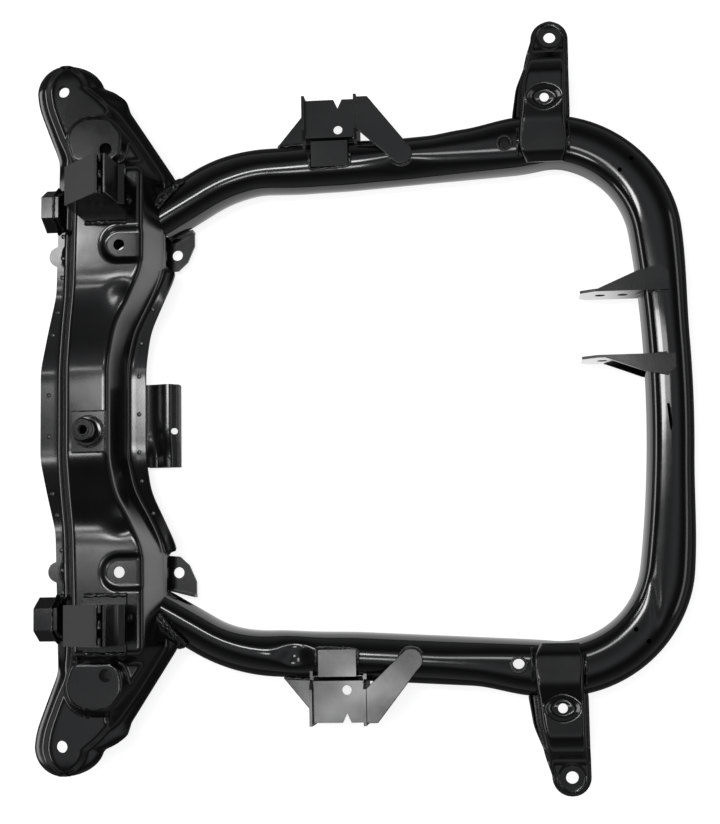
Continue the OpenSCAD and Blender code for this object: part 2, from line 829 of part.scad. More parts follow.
module control_brace(side) {
    x0 = control_x1 + weld_gap;
    end = [x0 + brace_l, side_y(x0 + brace_l)];
    root_y = control_y - plate_t;
    slant = brace_end_r * unit([2, 3]);
    strap = [
        [x0, root_y],
        [x0 + brace_end_r, root_y],
        end + slant,
        end - slant,
        [x0, root_y - brace_root_w]
    ];
    color(paint)
        on_side(side)
            union() {
                plate(strap, control_tab_z, plate_t);
                hole(end, 2 * brace_end_r, control_tab_z, control_tab_z + plate_t);
            }
}

module control_gusset(side) {
    l = 30;
    x1 = control_x0 - weld_gap;
    x0 = x1 - l;
    out_y = control_y - 14;
    out = (fit_r + weld_gap) / cos(side_taper);
    color(paint)
        on_side(side)
            plate([[x0, side_y(x0) + out], [x1, side_y(x1) + out], [x1, out_y]], tube_z + plate_t, plate_t);
}

// Steering brackets
tower_y = tower_span / 2;
tower_base = member_top_z + weld_gap;
tower_x0 = rear_x + tower_ahead;
tower_x1 = tower_x0 + tower_l;
tower_lean = 3;
tower_slot = 8;
roof_drop = 47;
tower_eave_z = tower_z - roof_drop;
tower_ridge_x = tower_x1 - tower_lean - tower_slot;

// Front edge of the steering brackets at height z
function tower_edge(z) = tower_x1 - tower_lean * (z - tower_base) / (tower_z - tower_base);

module tower(side) {
    slope = unit([tower_ridge_x - tower_x0, tower_z - tower_eave_z]);
    under = plate_t * [slope.y, -slope.x];
    eave = [tower_x0, tower_eave_z] - plate_t * slope;
    ridge = [tower_ridge_x, tower_z];
    gable_z = tower_z - 2 * plate_t;
    gable = [
        [tower_x0, tower_base],
        [tower_x1, tower_base],
        [tower_edge(gable_z), gable_z],
        ridge + under / 2,
        eave + under / 2
    ];
    foot_w = 8;
    color(paint)
        on_side(side)
            union() {
                for (way = [-1, 1])
                    side_plate(gable, tower_y + way * (tower_w - plate_t) / 2 - plate_t / 2, plate_t);
                side_plate([eave, eave + under, ridge + under, ridge], tower_y - tower_w / 2, tower_w);
                for (way = [-1, 1])
                    translate([0, tower_y + way * (tower_w + foot_w - plate_t) / 2, tower_base])
                        block([tower_x0 + foot_w, -(foot_w + plate_t) / 2, 0],
                              [tower_x1, (foot_w + plate_t) / 2, plate_t]);
            }
}

module tower_front(side) {
    low_z = tower_eave_z;
    high_z = tower_z - plate_t / 2;
    low = [tower_edge(low_z) + weld_gap, low_z];
    high = [tower_edge(high_z) + weld_gap, high_z];
    across = [plate_t, 0];
    toe = 2 * plate_t * [1, -1];
    color(paint)
        on_side(side)
            side_plate([low, low + toe, low + toe + across, low + across, high + across, high],
                       tower_y - tower_w / 2, tower_w);
}

// Middle of the channels and studs, a little inside that of the steering brackets
nose_y = tower_y - 6;

module nose(side) {
    z0 = seam_z + sheet_t + weld_gap;
    x0 = rear_x + (side > 0 ? nose_in_left : nose_in_right);
    x1 = member_rear(nose_y) + flange_w / 2;
    slant = nose_w / 4;
    inset = plate_t / 2;
    outer = [[-nose_w / 2, 0], [-nose_w / 2 + slant, nose_h], [nose_w / 2 - slant, nose_h], [nose_w / 2, 0]];
    inner = [
        [-nose_w / 2 + plate_t, -eps],
        [-nose_w / 2 + slant + inset, nose_h - plate_t],
        [nose_w / 2 - slant - inset, nose_h - plate_t],
        [nose_w / 2 - plate_t, -eps]
    ];
    color(paint)
        on_side(side)
            translate([0, nose_y, z0])
                difference() {
                    cross_plate(outer, x0, x1 - x0);
                    cross_plate(inner, x0 - eps, x1 - x0 + 2 * eps);
                }
}

module locating_stud(side) {
    back = 30;
    collar_h = 2;
    point_h = 3;
    color(paint)
        on_side(side)
            translate([joint_x - flange_w - back, nose_y, tower_base]) {
                cylinder(d = stud_d, h = collar_h);
                translate([0, 0, collar_h])
                    cylinder(d1 = 0.8 * stud_d, d2 = 0.5 * stud_d, h = point_h);
            }
}

// Pieces at the front of the cross member
module roll_bar_ear(side) {
    rim = 13;
    y = entry_y - roll_bar_in;
    x = joint_x - plate_t;
    r = roll_bar_hole_d / 2 + rim;
    half_w = r - plate_t / 2;
    top = roll_bar_z + plate_t;
    root = lower_front(y, top) + weld_gap;
    clear_r = fit_r + sheet_t + weld_gap;
    wall_out = clear_r + weld_gap;
    wall_back = 25;
    wall_ahead = 6;
    color(paint)
        on_side(side)
            difference() {
                union() {
                    intersection() {
                        hole([x, y], 2 * r, roll_bar_z, top);
                        block([root, y - 2 * r, 0], [x + 2 * r, y + 2 * r, seam_z]);
                    }
                    block([root, y - half_w, roll_bar_z], [x, y + half_w, top]);
                    translate(entry_p)
                        rotate(entry_angle)
                            block([-wall_back, -wall_out - plate_t, roll_bar_z],
                                  [wall_ahead, -wall_out, tube_z]);
                }
                hole([x, y], roll_bar_hole_d, 0, seam_z);
                entry_pipe(clear_r, 2 * wall_back, 2 * wall_back);
            }
}

module torque_bracket() {
    hold = 8;
    lip_z = 2;
    crown_h = 8;
    hole_in = 39;
    low_z = mid_seam_z - sheet_t - 2 * weld_gap - plate_t;
    x0 = rear_x + mid_w;
    x1 = x0 + torque_reach;
    y0 = -1.2 * mid_y;
    y1 = y0 + torque_w;
    rise_x = x0 + 0.3 * torque_reach;
    crown_x = x0 + 0.62 * torque_reach;
    under = [
        [x0 + eps, low_z],
        [rise_x, low_z],
        [crown_x, low_z + crown_h],
        [x1 - plate_t, low_z],
        [x1 - plate_t, lip_z]
    ];
    saddle = concat(
        [[x0 - hold, low_z]],
        under,
        [
            [x1, lip_z],
            [x1, low_z],
            [crown_x + plate_t / 2, low_z + crown_h + plate_t],
            [crown_x - plate_t / 2, low_z + crown_h + plate_t],
            [rise_x - plate_t / 2, low_z + plate_t],
            [x0 - hold, low_z + plate_t]
        ]
    );
    color(paint)
        difference() {
            union() {
                side_plate(saddle, y0, torque_w);
                for (y = [y0, y1 - plate_t])
                    side_plate(concat(under, [[x0 + eps, lip_z]]), y, plate_t);
            }
            hole([0.36 * crown_x + 0.64 * x1, y0 + hole_in], torque_hole_d, low_z, 2 * mid_seam_z);
        }
}

// Middle of the centre boss
boss_ahead = 65;
boss_side = -24;
boss_p = [rear_x + boss_ahead, boss_side];

module boss_plate() {
    l = 36;
    w = 44;
    color(paint)
        translate([boss_p.x - l / 2, boss_p.y - w / 2, mid_top_z + weld_gap])
            cube([l, w, plate_t]);
}

module centre_boss() {
    collar_w = 3.5;
    collar_h = 5;
    z0 = mid_top_z + plate_t + 2 * weld_gap;
    color(paint)
        difference() {
            union() {
                hole(boss_p, boss_d, z0, z0 + boss_h);
                hole(boss_p, boss_d + 2 * collar_w, z0, z0 + collar_h);
            }
            hole(boss_p, boss_hole_d, z0 - eps, z0 + boss_h + eps);
        }
}

// Front mount ears on the tube: a standing web with a top and a bottom flange
module mount_ear(y, way, flange_in, flange_w, holes) {
    hold = 6;
    tip_cut = 8;
    on_bow = [bow_x(y), y];
    along = unit([-y, bow_x(y) - bow_c.x]);
    tip_x = front_x - ear_reach;
    end_x = on_bow.x + hold;
    top_z = tube_od + weld_gap;
    low_z = plate_t;
    web = [
        [tip_x + tip_cut, low_z],
        [end_x, low_z],
        [end_x, top_z + plate_t],
        [tip_x + 2 * tip_cut, top_z + plate_t],
        [tip_x, top_z - tip_cut],
        [tip_x, low_z + tip_cut]
    ];
    edge_y = y + way * plate_t;
    flange = [
        [tip_x + flange_in, y],
        [end_x, y],
        [end_x, y + way * (flange_w - tip_cut)],
        [end_x - tip_cut, y + way * flange_w],
        [end_x - 4 * tip_cut, y + way * 0.8 * flange_w],
        [tip_x + flange_in, edge_y]
    ];
    color(paint)
        difference() {
            union() {
                side_plate(web, min(y, edge_y), plate_t);
                plate(flange, top_z, plate_t);
                plate(flange, low_z, plate_t);
            }
            pipe_run(on_bow - 2 * tube_od * along, on_bow + 2 * tube_od * along, fit_r);
            for (i = [0:holes - 1])
                translate([tip_x + ear_hole_in + i * ear_hole_pitch, y, ear_hole_z])
                    rotate([90, 0, 0])
                        cylinder(d = ear_hole_d, h = 4 * plate_t, center = true);
        }
}

module ear_outer() {
    mount_ear(ear_outer_y, 1, ear_outer_in, ear_outer_flange, 2);
}

module ear_inner() {
    mount_ear(ear_inner_y, -1, ear_inner_in, ear_inner_flange, 1);
}

upper_shell();
lower_shell();
tube_loop();
wing_ring(1);  // wing_ring_left
wing_ring(-1);  // wing_ring_right
bush_spacer(1);  // bush_spacer_left
bush_spacer(-1);  // bush_spacer_right
tube_sleeve(1);  // tube_sleeve_left
tube_sleeve(-1);  // tube_sleeve_right
arm_upper(1);  // arm_upper_left
arm_upper(-1);  // arm_upper_right
arm_lower(1);  // arm_lower_left
arm_lower(-1);  // arm_lower_right
arm_ring(1);  // arm_ring_left
arm_ring(-1);  // arm_ring_right
control_bracket(1);  // control_bracket_left
control_bracket(-1);  // control_bracket_right
control_nut(1);  // control_nut_left
control_nut(-1);  // control_nut_right
control_brace(1);  // control_brace_left
control_brace(-1);  // control_brace_right
control_gusset(1);  // control_gusset_left
control_gusset(-1);  // control_gusset_right
tower(1);  // tower_left
tower(-1);  // tower_right
tower_front(1);  // tower_front_left
tower_front(-1);  // tower_front_right
nose(1);  // nose_left
nose(-1);  // nose_right
locating_stud(1);  // locating_stud_left
locating_stud(-1);  // locating_stud_right
roll_bar_ear(1);  // roll_bar_ear_left
roll_bar_ear(-1);  // roll_bar_ear_right
torque_bracket();
boss_plate();
centre_boss();
ear_outer();
ear_inner();
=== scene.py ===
# %% [markdown]
# # A gloss black subframe, from CAD solids to a studio picture
#
# The object is a welded steel subframe: a pressed box across the rear, a bent tube that loops forward from
# it, and arms, brackets and ears welded on. The CAD solids are exact but plain. This lesson gives them the
# soft pressed edges, the weld beads and the paint of the real one, and then lights them like a studio photo.
#
# Lengths in this script are in millimetres, as on a drawing, and are turned into metres where a mesh is made.

import bmesh
import bpy
import numpy as np
from mathutils import Matrix, Vector


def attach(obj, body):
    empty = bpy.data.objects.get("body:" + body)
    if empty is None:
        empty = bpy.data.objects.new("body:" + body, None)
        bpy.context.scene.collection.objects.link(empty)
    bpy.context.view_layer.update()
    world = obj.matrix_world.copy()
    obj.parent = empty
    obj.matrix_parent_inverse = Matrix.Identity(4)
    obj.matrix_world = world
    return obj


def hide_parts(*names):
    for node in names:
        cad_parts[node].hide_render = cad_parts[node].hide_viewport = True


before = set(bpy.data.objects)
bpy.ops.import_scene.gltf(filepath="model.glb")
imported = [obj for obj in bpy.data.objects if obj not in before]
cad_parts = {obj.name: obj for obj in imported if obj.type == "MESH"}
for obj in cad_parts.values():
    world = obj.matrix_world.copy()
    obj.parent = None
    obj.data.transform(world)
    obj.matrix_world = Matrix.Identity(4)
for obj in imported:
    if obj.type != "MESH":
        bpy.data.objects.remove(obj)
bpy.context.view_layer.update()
MM = 0.001

# %% [markdown]
# ## Colours and nodes
#
# Paint colours are easiest to read as the hex codes that a screen shows. Shaders work with linear light, so
# one small function turns a code into linear values. A second one adds a node, sets it up and links it, so
# that each material below reads as a short list.

# %% Helpers for colours and nodes
def linear(code):
    parts = [int(code[i:i + 2], 16) / 255 for i in (1, 3, 5)]
    return [p / 12.92 if p <= 0.04045 else ((p + 0.055) / 1.055) ** 2.4 for p in parts] + [1.0]


def add(tree, kind, settings=None, values=None, links=None):
    node = tree.nodes.new(kind)
    for name, value in (settings or {}).items():
        setattr(node, name, value)
    for name, value in (values or {}).items():
        node.inputs[name].default_value = value
    for name, source in (links or {}).items():
        tree.links.new(source, node.inputs[name])
    return node


def new_material(name):
    material = bpy.data.materials.new(name)
    material.use_nodes = True
    material.node_tree.nodes.clear()
    return material, material.node_tree


print("Mid grey in linear light:", [round(v, 3) for v in linear("#808080")[:3]])

# %% [markdown]
# ## Gloss black paint
#
# The real frame is dipped and baked: a thick black coat with a mirror gloss. It isn't quite flat. The coat
# has a faint ripple some millimetres wide, and handling leaves a fine haze. Both come from noise in object
# coordinates, with scales set from real millimetres. Weld beads keep their rough scale under the same paint,
# and the flat bracket plates were dipped last and are a little duller.

# %% Paint
HAZE_WIDTH = 70.0
CLEAREST, DULLEST = 0.7, 1.5


def paint(name, colour, haze, ripple, height):
    material, tree = new_material(name)
    place = add(tree, "ShaderNodeTexCoord")
    cloud = add(tree, "ShaderNodeTexNoise", values={"Scale": 1 / (HAZE_WIDTH * MM), "Detail": 5.0},
                links={"Vector": place.outputs["Object"]})
    peel = add(tree, "ShaderNodeTexNoise", values={"Scale": 1 / (ripple * MM), "Detail": 2.0},
               links={"Vector": place.outputs["Object"]})
    rough = add(tree, "ShaderNodeMapRange",
                values={"From Min": 0.3, "From Max": 0.7,
                        "To Min": CLEAREST * haze, "To Max": DULLEST * haze},
                links={"Value": cloud.outputs["Fac"]})
    bump = add(tree, "ShaderNodeBump", values={"Strength": 0.5, "Distance": height * MM},
               links={"Height": peel.outputs["Fac"]})
    coat = add(tree, "ShaderNodeBsdfPrincipled", values={"Base Color": linear(colour), "IOR": 1.5},
               links={"Roughness": rough.outputs["Result"], "Normal": bump.outputs["Normal"]})
    add(tree, "ShaderNodeOutputMaterial", links={"Surface": coat.outputs["BSDF"]})
    return material


# Deep black with soft-edged patches of light on every pressed slope
gloss = paint("gloss black paint on pressings", "#0a0a0b", 0.13, 16.0, 0.06)
# The clearest mirror of the four, for the thin lines of light along the tube
tube_gloss = paint("gloss black paint on tube", "#0a0a0b", 0.10, 22.0, 0.08)
# A shade duller, so that a flat plate shows one even tone
satin = paint("satin black paint on plates", "#0c0c0d", 0.15, 5.0, 0.03)
# Rough enough to break the light into small sparks on a bead
weld_paint = paint("black paint over weld", "#0b0b0b", 0.22, 1.6, 0.25)
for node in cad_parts.values():
    node.data.materials.clear()
    node.data.materials.append(satin)
print("Painted", len(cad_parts), "CAD pieces")

# %% [markdown]
# ## Tools for building meshes
#
# A pressed sheet is easiest to describe as a grid: rows of points across it, one row per station along it.
# These helpers make an object of points and faces, number the faces of a grid, turn the faces outward, and
# keep what the modifiers show as a plain mesh.

# %% Mesh tools
HANDS = ((1, "left"), (-1, "right"))


def put(name, data):
    obj = bpy.data.objects.new(name, data)
    bpy.context.scene.collection.objects.link(obj)
    return obj


def new_object(name, points, faces, material):
    mesh = bpy.data.meshes.new(name)
    mesh.from_pydata([tuple(p) for p in np.asarray(points, float) * MM], [], [tuple(f) for f in faces])
    mesh.materials.append(material)
    return put(name, mesh)


def grid_faces(rows, cols, first=0, flip=False, closed=False):
    faces = []
    for i in range(rows - 1):
        for j in range(cols if closed else cols - 1):
            a = first + i * cols + j
            b = first + i * cols + (j + 1) % cols
            face = [a, b, b + cols, a + cols]
            faces.append(face[::-1] if flip else face)
    return faces


def outward(obj):
    work = bmesh.new()
    work.from_mesh(obj.data)
    bmesh.ops.remove_doubles(work, verts=work.verts, dist=0.02 * MM)
    bmesh.ops.recalc_face_normals(work, faces=work.faces)
    work.to_mesh(obj.data)
    work.free()


def bake(obj):
    graph = bpy.context.evaluated_depsgraph_get()
    mesh = bpy.data.meshes.new_from_object(obj.evaluated_get(graph))
    obj.modifiers.clear()
    obj.data = mesh


print("Faces of a grid of 3 by 4 points:", len(grid_faces(3, 4)))

# %% [markdown]
# Small plates need less than a grid: one outline at each end and sides between them. Such a block is also the
# tool that cuts a hole, as a punch does, between the two heights that end each call. An outline drawn on the
# left is mirrored for the right side.

# %% Blocks and holes
def between(name, first, second, material):
    count = len(first)
    sides = [[i, (i + 1) % count, count + (i + 1) % count, count + i] for i in range(count)]
    ends = [list(range(count)), list(range(count, 2 * count))]
    obj = new_object(name, [*first, *second], sides + ends, material)
    outward(obj)
    return obj


def prism(name, outline, low, high, material):
    return between(name, [(*p, low) for p in outline], [(*p, high) for p in outline], material)


def on_side(outline, side):
    return [(x, y * side) for x, y in outline]


def disc(x, y, radius):
    turn = np.linspace(0, 2 * np.pi, 49)[:-1]
    return np.stack([x + radius * np.cos(turn), y + radius * np.sin(turn)], 1)


def both_sides(holes):
    return [disc(*(place * [1, side]), radius) for side, _ in HANDS for place, radius in holes]


def cut(obj, outlines, low, high):
    tools = [prism("hole tool", outline, low, high, obj.data.materials[0]) for outline in outlines]
    for tool in tools:
        change = obj.modifiers.new("hole", "BOOLEAN")
        change.operation = "DIFFERENCE"
        change.object = tool
    bake(obj)
    for tool in tools:
        bpy.data.objects.remove(tool)


print("Corners of a round hole:", len(disc(0, 0, 5)))

# %% [markdown]
# A finished piece is shaded smooth up to the angle of a real edge. It rides on the frame's one body and names
# the solids that it stands for.

# %% Finishing a piece
SMOOTH_TO = 35


def shade(obj, angle=SMOOTH_TO):
    obj.data.shade_smooth()
    obj.data.set_sharp_from_angle(angle=np.radians(angle))


def finish_piece(obj, *nodes):
    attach(obj, "root")
    if nodes:
        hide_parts(*nodes)
    print(f"{obj.name}: {len(obj.data.polygons)} faces")
    return obj


print("Edges up to", SMOOTH_TO, "degrees are shaded smooth")

# %% [markdown]
# ## Soft lines
#
# Sheet steel never turns a sharp corner. Each outline and height of the pressings is a short table along the
# width of the frame, as on the drawing, and the corners of the table are rounded by averaging it over a few
# millimetres.

# %% Soft tables
def soft(table, spread):
    stops, values = np.array(table, float).T
    steps = np.linspace(-2, 2, 21)
    weights = np.exp(-steps ** 2 / 2)

    def value(y):
        y = np.abs(np.asarray(y, float))
        moved = [np.interp(np.abs(y + s * spread), stops, values) for s in steps]
        return sum(w * v for w, v in zip(weights, moved)) / weights.sum()

    return value


def fade(low, high, value):
    t = np.clip((np.asarray(value, float) - low) / (high - low), 0, 1)
    return t * t * (3 - 2 * t)


print("A soft step at its corner:", round(float(soft([[0, 0], [10, 0], [20, 5]], 4)(10)), 2))

# %% [markdown]
# ## Pressed section
#
# Both shells of the cross member and the arms have a top hat section: a flat flange for the spot welds, a
# bend, a wall that leans in so that the press tool comes free, a second bend, and a flat top. The bends are
# short curves between the straight parts.

# %% Top hat section
FLANGE_POINTS, FOOT_POINTS, WALL_POINTS, EDGE_POINTS = 5, 8, 5, 9
WALL_SHARE, RIM_SHARE, TOP_SHARE = 0.45, 0.7, 0.8


def bend(start, corner, end, count):
    t = np.linspace(0, 1, count)[:, None]
    return (1 - t) ** 2 * start + 2 * t * (1 - t) * corner + t * t * end


def hat_side(rim, half, height, radius, top_count, lean):
    slope = np.hypot(lean, 1)
    across, up = np.array([1, 0]), np.array([lean, 1]) / slope
    reach = radius * np.tan(np.arctan2(1, lean) / 2)
    foot = np.array([rim, 0.0])
    top = np.array([rim + lean * height, height])
    low = min(reach, WALL_SHARE * slope * height, RIM_SHARE * rim)
    high = min(reach, WALL_SHARE * slope * height, TOP_SHARE * max(half - top[0], 0.5))
    flange = np.stack([np.linspace(0, rim - low, FLANGE_POINTS), np.zeros(FLANGE_POINTS)], 1)[:-1]
    lower = bend(foot - low * across, foot, foot + low * up, FOOT_POINTS)
    upper = bend(top - high * up, top, top + high * across, EDGE_POINTS)
    wall = np.linspace(lower[-1], upper[0], WALL_POINTS)[1:-1]
    flat = np.stack([np.linspace(upper[-1][0], half, top_count), np.full(top_count, height)], 1)[1:]
    return np.concatenate([flange, lower, wall, upper, flat])


def top_hat(rear, front, rims, height, radius, top_count, lean=0.35):
    half = (front - rear) / 2
    side = hat_side(rims[0], half, height, radius, top_count, lean)
    other = hat_side(rims[1], half, height, radius, top_count, lean)[-2::-1] * [-1, 1] + [2 * half, 0]
    return np.concatenate([side, other]) + [rear, 0]


print("Points across one section:", len(top_hat(-356, -238, (19, 19), 39.5, 8, 30)))

# %% [markdown]
# The sheet gets its thickness from a second grid on the inside. Joined round the rim, the two make a closed
# piece, and only a closed piece can be cut cleanly.

# %% Closed sheet
def close_sheet(name, outer, inner, material):
    rows, cols = outer.shape[:2]
    count = rows * cols
    faces = grid_faces(rows, cols) + grid_faces(rows, cols, count, flip=True)
    rim = [i * cols for i in range(rows)] + [(rows - 1) * cols + j for j in range(1, cols)]
    rim += [i * cols + cols - 1 for i in range(rows - 2, -1, -1)] + list(range(cols - 2, 0, -1))
    for a, b in zip(rim, rim[1:] + rim[:1]):
        faces.append([a, a + count, b + count, b])
    obj = new_object(name, np.concatenate([outer.reshape(-1, 3), inner.reshape(-1, 3)]), faces, material)
    outward(obj)
    return obj


def stations(stops, step):
    rows = [np.arange(a, b, s) for (a, b), s in zip(zip(stops, stops[1:]), step)]
    return np.concatenate(rows + [[stops[-1]]])


print("Stations of a short sheet:", stations([0, 4, 5], [2.0, 0.5]))

# %% [markdown]
# ## Cross member
#
# The cross member is two pressings welded round their flanges. Its middle is low, its sides are high, and two
# wings drop to the rear body mounts. The tables give, for each distance from the middle, where the edges lie,
# how wide the flanges are, and how high the seam, the top and the floor are.

# %% Cross member tables
SHEET, SEAM_GAP = 2.5, 0.2
WING = np.array([-324.0, 359.0])
BUSH = np.array([-269.0, 283.0])
ACCESS = np.array([-253.0, 175.5])
TIP_REAR, TIP_FRONT = 32.0, 43.5
WING_FROM, TIP_FROM = 225.0, 363.0

rear_line = soft([[50, -356], [90, -345.1], [130, -333.1], [256, -330], [281, -330], [306, -339.9],
                  [342, -353.4], [359, -356]], 7)
front_line = soft([[50, -238], [88.4, -230.4], [117.2, -215.2], [150, -200], [225, -200]], 9)
wing_line = soft([[225, -200], [256, -200], [335, -251], [350, -264.5], [363, -280.8], [380, -292]], 3)
kink_line = soft([[335, 0], [349, 8], [359, 6.5], [363.5, 0]], 1.4)
rim_line = soft([[50, 24], [130, 13], [256, 13], [306, 9.5]], 6)
front_rim_line = soft([[50, 19], [130, 13], [300, 12], [340, 15], [370, 14], [391, 10]], 6)
seam_line = soft([[50, 20], [130, 39]], 9)
ramp_line = soft([[50, 62], [130, 85]], 11)
drop_line = soft([[261, 0], [270, 19]], 3.2)
floor_line = soft([[306, 0], [342, 32], [377, 32], [386, 35]], 5)


def top_line(y):
    return ramp_line(y) - drop_line(y)


def edges(y):
    y = abs(y)
    inner = min(y, WING[1])
    part = np.sqrt(max(1 - ((y - inner) / TIP_REAR) ** 2, 0.0))
    rear = WING[0] + (float(rear_line(inner)) - WING[0]) * part
    if y > TIP_FROM:
        return rear, WING[0] + TIP_FRONT * part
    return rear, float(front_line(y) if y < WING_FROM else wing_line(y))


print("Rear and front edge in the middle and at a wing:", edges(0), edges(WING[1]))

# %% [markdown]
# The upper pressing has three forms on each side. A raised seat with one flat side carries the rear bush and
# falls straight to the mount pad on the wing. A shoulder runs past it at the front. A round hollow with an
# access hole opens towards the front edge, and a small dimple lies on the ramp.
#
# The forms are written as one height for each place on the top, made of soft masks. The walls below stretch
# to meet it, as sheet does in a press.

# %% Cross member top
SEAT, SEAT_HALF = np.array([-282.0, 293.0]), np.array([29.0, 26.0])
SEAT_TOP, SEAT_POWER, PAD_DROP = 77.0, 2.4, 18.0
HOLLOW_DEPTH, HOLLOW_REACH = 2.4, 60.0
DIMPLE, DIMPLE_R, DIMPLE_DEPTH = np.array([-251.0, 120.0]), 12.0, 2.0


def top_height(x, y):
    y = np.abs(y)
    from_seat = np.stack([x, y], -1) - SEAT
    part = (np.abs(from_seat) / SEAT_HALF) ** SEAT_POWER
    reach = SEAT_HALF[1] * (part[..., 0] + part[..., 1]) ** (1 / SEAT_POWER)
    angle = np.degrees(np.arctan2(from_seat[..., 1], from_seat[..., 0]))
    angle = np.where(angle < -120, angle + 360, angle)
    wing = fade(58, 84, angle) * (1 - fade(192, 214, angle)) * fade(268, 276, y)
    base = top_line(y) - PAD_DROP * wing
    raised = (1 - fade(25.5, 36 - 3 * (1 - wing), reach)) * fade(262.5, 272, y)
    high = base + (SEAT_TOP - base) * raised
    along = np.clip(x - ACCESS[0], 0, HOLLOW_REACH)
    from_access = np.hypot(x - ACCESS[0] - along, y - ACCESS[1])
    dimple = np.exp(-((x - DIMPLE[0]) / DIMPLE_R) ** 2 - ((y - DIMPLE[1]) / DIMPLE_R) ** 2)
    return high - HOLLOW_DEPTH * (1 - fade(13, 22, from_access)) - DIMPLE_DEPTH * dimple


print("Heights at pad, seat, shoulder and access hole:",
      [round(float(top_height(np.float64(x), np.float64(y))), 1)
       for x, y in (WING, BUSH, (-235, 290), ACCESS)])

# %% [markdown]
# Both shells come from one function. The flange alone is stretched for the round tabs at the rear, the kink
# at the wings and the notches that let the anti-roll bar ears out. Its edge rolls down a little, as a trimmed
# sheet does. The holes in the lower shell are wider, so that tools pass.

# %% Cross member shells
PRESS_R = 8
TAB_Y, TAB_OUT, TAB_HALF = 173.5, 9.0, 10.5
NOTCH_Y, NOTCH_IN = 178.0, 11.0
REAR_ROLL, FRONT_ROLL = 2.4, 3.4
TIP_END, TIP_SOFT = 391.0, 22.0
fine_rows = stations([0, 140, 215, 255, 372, 385, 390.7], [4.0, 1.6, 3.0, 1.6, 1.0, 0.5])
plain_rows = stations([0, 160, 190, 255, 372, 385, 390.7], [5.0, 3.0, 5.0, 3.0, 1.0, 0.5])


def shell(name, way, half_rows, across):
    outer, inner = [], []
    for y in np.concatenate([-half_rows[:0:-1], half_rows]):
        off = abs(y)
        rear, front = edges(y)
        rims = [min(float(line(y)), 0.3 * (front - rear)) for line in (rim_line, front_rim_line)]
        seam = float(seam_line(y)) - (SEAM_GAP if way < 0 else 0)
        tab = TAB_OUT * np.sqrt(max(1 - ((off - TAB_Y) / TAB_HALF) ** 2, 0.0))
        kink = float(kink_line(y)) - NOTCH_IN * (1 - fade(21, 26, abs(off - NOTCH_Y)))
        tip = np.clip((TIP_END - off) / TIP_SOFT, 0, 1)
        height = float(top_line(y)) - seam if way > 0 else seam - float(floor_line(y))
        for sheet, rows in ((SHEET, outer), (0.0, inner)):
            profile = top_hat(rear, front, rims, height - SHEET, PRESS_R, across)
            x, share = profile[:, 0], profile[:, 1] / (height - SHEET)
            reach = np.full_like(x, height - SHEET)
            if way > 0:
                reach = top_height(x, np.full_like(x, y)) - seam - SHEET
            reach = reach * np.sqrt(1 - (1 - tip) ** 2.5)
            behind = np.clip(1 - (x - rear) / rims[0], 0, 1)
            ahead = np.clip(1 - (front - x) / rims[1], 0, 1)
            rolled = seam - REAR_ROLL * fade(258, 285, off) * behind ** 2
            rolled = rolled - FRONT_ROLL * fade(110, 150, off) * ahead ** 2
            x = x - tab * behind + kink * ahead
            rows.append(np.stack([x, np.full_like(x, y), rolled + way * (sheet + share * reach)], 1))
    return close_sheet(name, np.array(outer), np.array(inner), gloss)


upper = shell("upper_pressing", 1, fine_rows, 30)
cut(upper, both_sides([(WING, 6.5), (BUSH, 7), (ACCESS, 6)]), 30, 100)
shade(upper)
finish_piece(upper, "upper_shell")
lower = shell("lower_pressing", -1, plain_rows, 12)
cut(lower, both_sides([(WING, 15.2), (BUSH, 7.0), (ACCESS - [9, 0], 17.0)]), -10, 38.9)
shade(lower)
finish_piece(lower, "lower_shell")

# %% [markdown]
# ## Tube loop
#
# The loop is one 50 mm tube, bent in a tool at four corners and bowed along the front. Its middle line is a
# chain of arcs and straight runs, written for the left half and mirrored. Both ends reach a little way into
# the cross member.

# %% Tube path
TUBE_R, WALL, TUBE_Z = 25.0, 2.5, 25.0
BOW, BOW_R = np.array([-999.0, 0.0]), 1330.0
CORNER, CORNER_R = np.array([204.58, 166.2]), 115.0
BEND, BEND_R = np.array([-84.87, 94.19]), 170.0
ENTRY, TUCK = np.array([-200.0, 224.0]), 24.0
TAPER, ENTRY_TURN, BOW_TURN = 3.35, 30.0, 7.86
RUN_STEPS, END_STEPS = 90, 16


def unit_at(turn):
    turn = np.radians(np.asarray(turn, float))
    return np.stack([np.cos(turn), np.sin(turn)], -1)


def half_path():
    bow = np.linspace(0, BOW_TURN, 60)
    corner = np.linspace(BOW_TURN, 90 + TAPER, 70)[1:]
    curve = np.linspace(90 + TAPER, 90 + ENTRY_TURN, 30)
    points = [BOW + BOW_R * unit_at(bow), CORNER + CORNER_R * unit_at(corner)]
    turns = [bow, corner]
    start, end = points[1][-1], BEND + BEND_R * unit_at(90 + TAPER)
    share = np.linspace(0, 1, RUN_STEPS)[1:-1, None]
    points += [start + share * (end - start), BEND + BEND_R * unit_at(curve)]
    turns += [np.full(RUN_STEPS - 2, 90 + TAPER), curve]
    start, end = points[3][-1], ENTRY - TUCK * unit_at(ENTRY_TURN)
    share = np.linspace(0, 1, END_STEPS)[1:, None]
    points.append(start + share * (end - start))
    turns.append(np.full(END_STEPS - 1, 90 + ENTRY_TURN))
    return np.concatenate(points), np.concatenate(turns)


path, turns = half_path()
path = np.concatenate([path[:0:-1] * [1, -1], path])
turns = np.concatenate([-turns[:0:-1], turns])
print("Tube path steps:", len(path), "- rear ends at", path[0].round(1), path[-1].round(1))

# %% [markdown]
# The bending tool squeezes the tube. Its section turns squarer towards the front, and it spreads outward in
# the front corners and a little inward along the left run. Near the right entry the inner side is pressed in.
# Each ring of the sweep gets its own squareness and spread. Three shallow dents are left by the clamps.

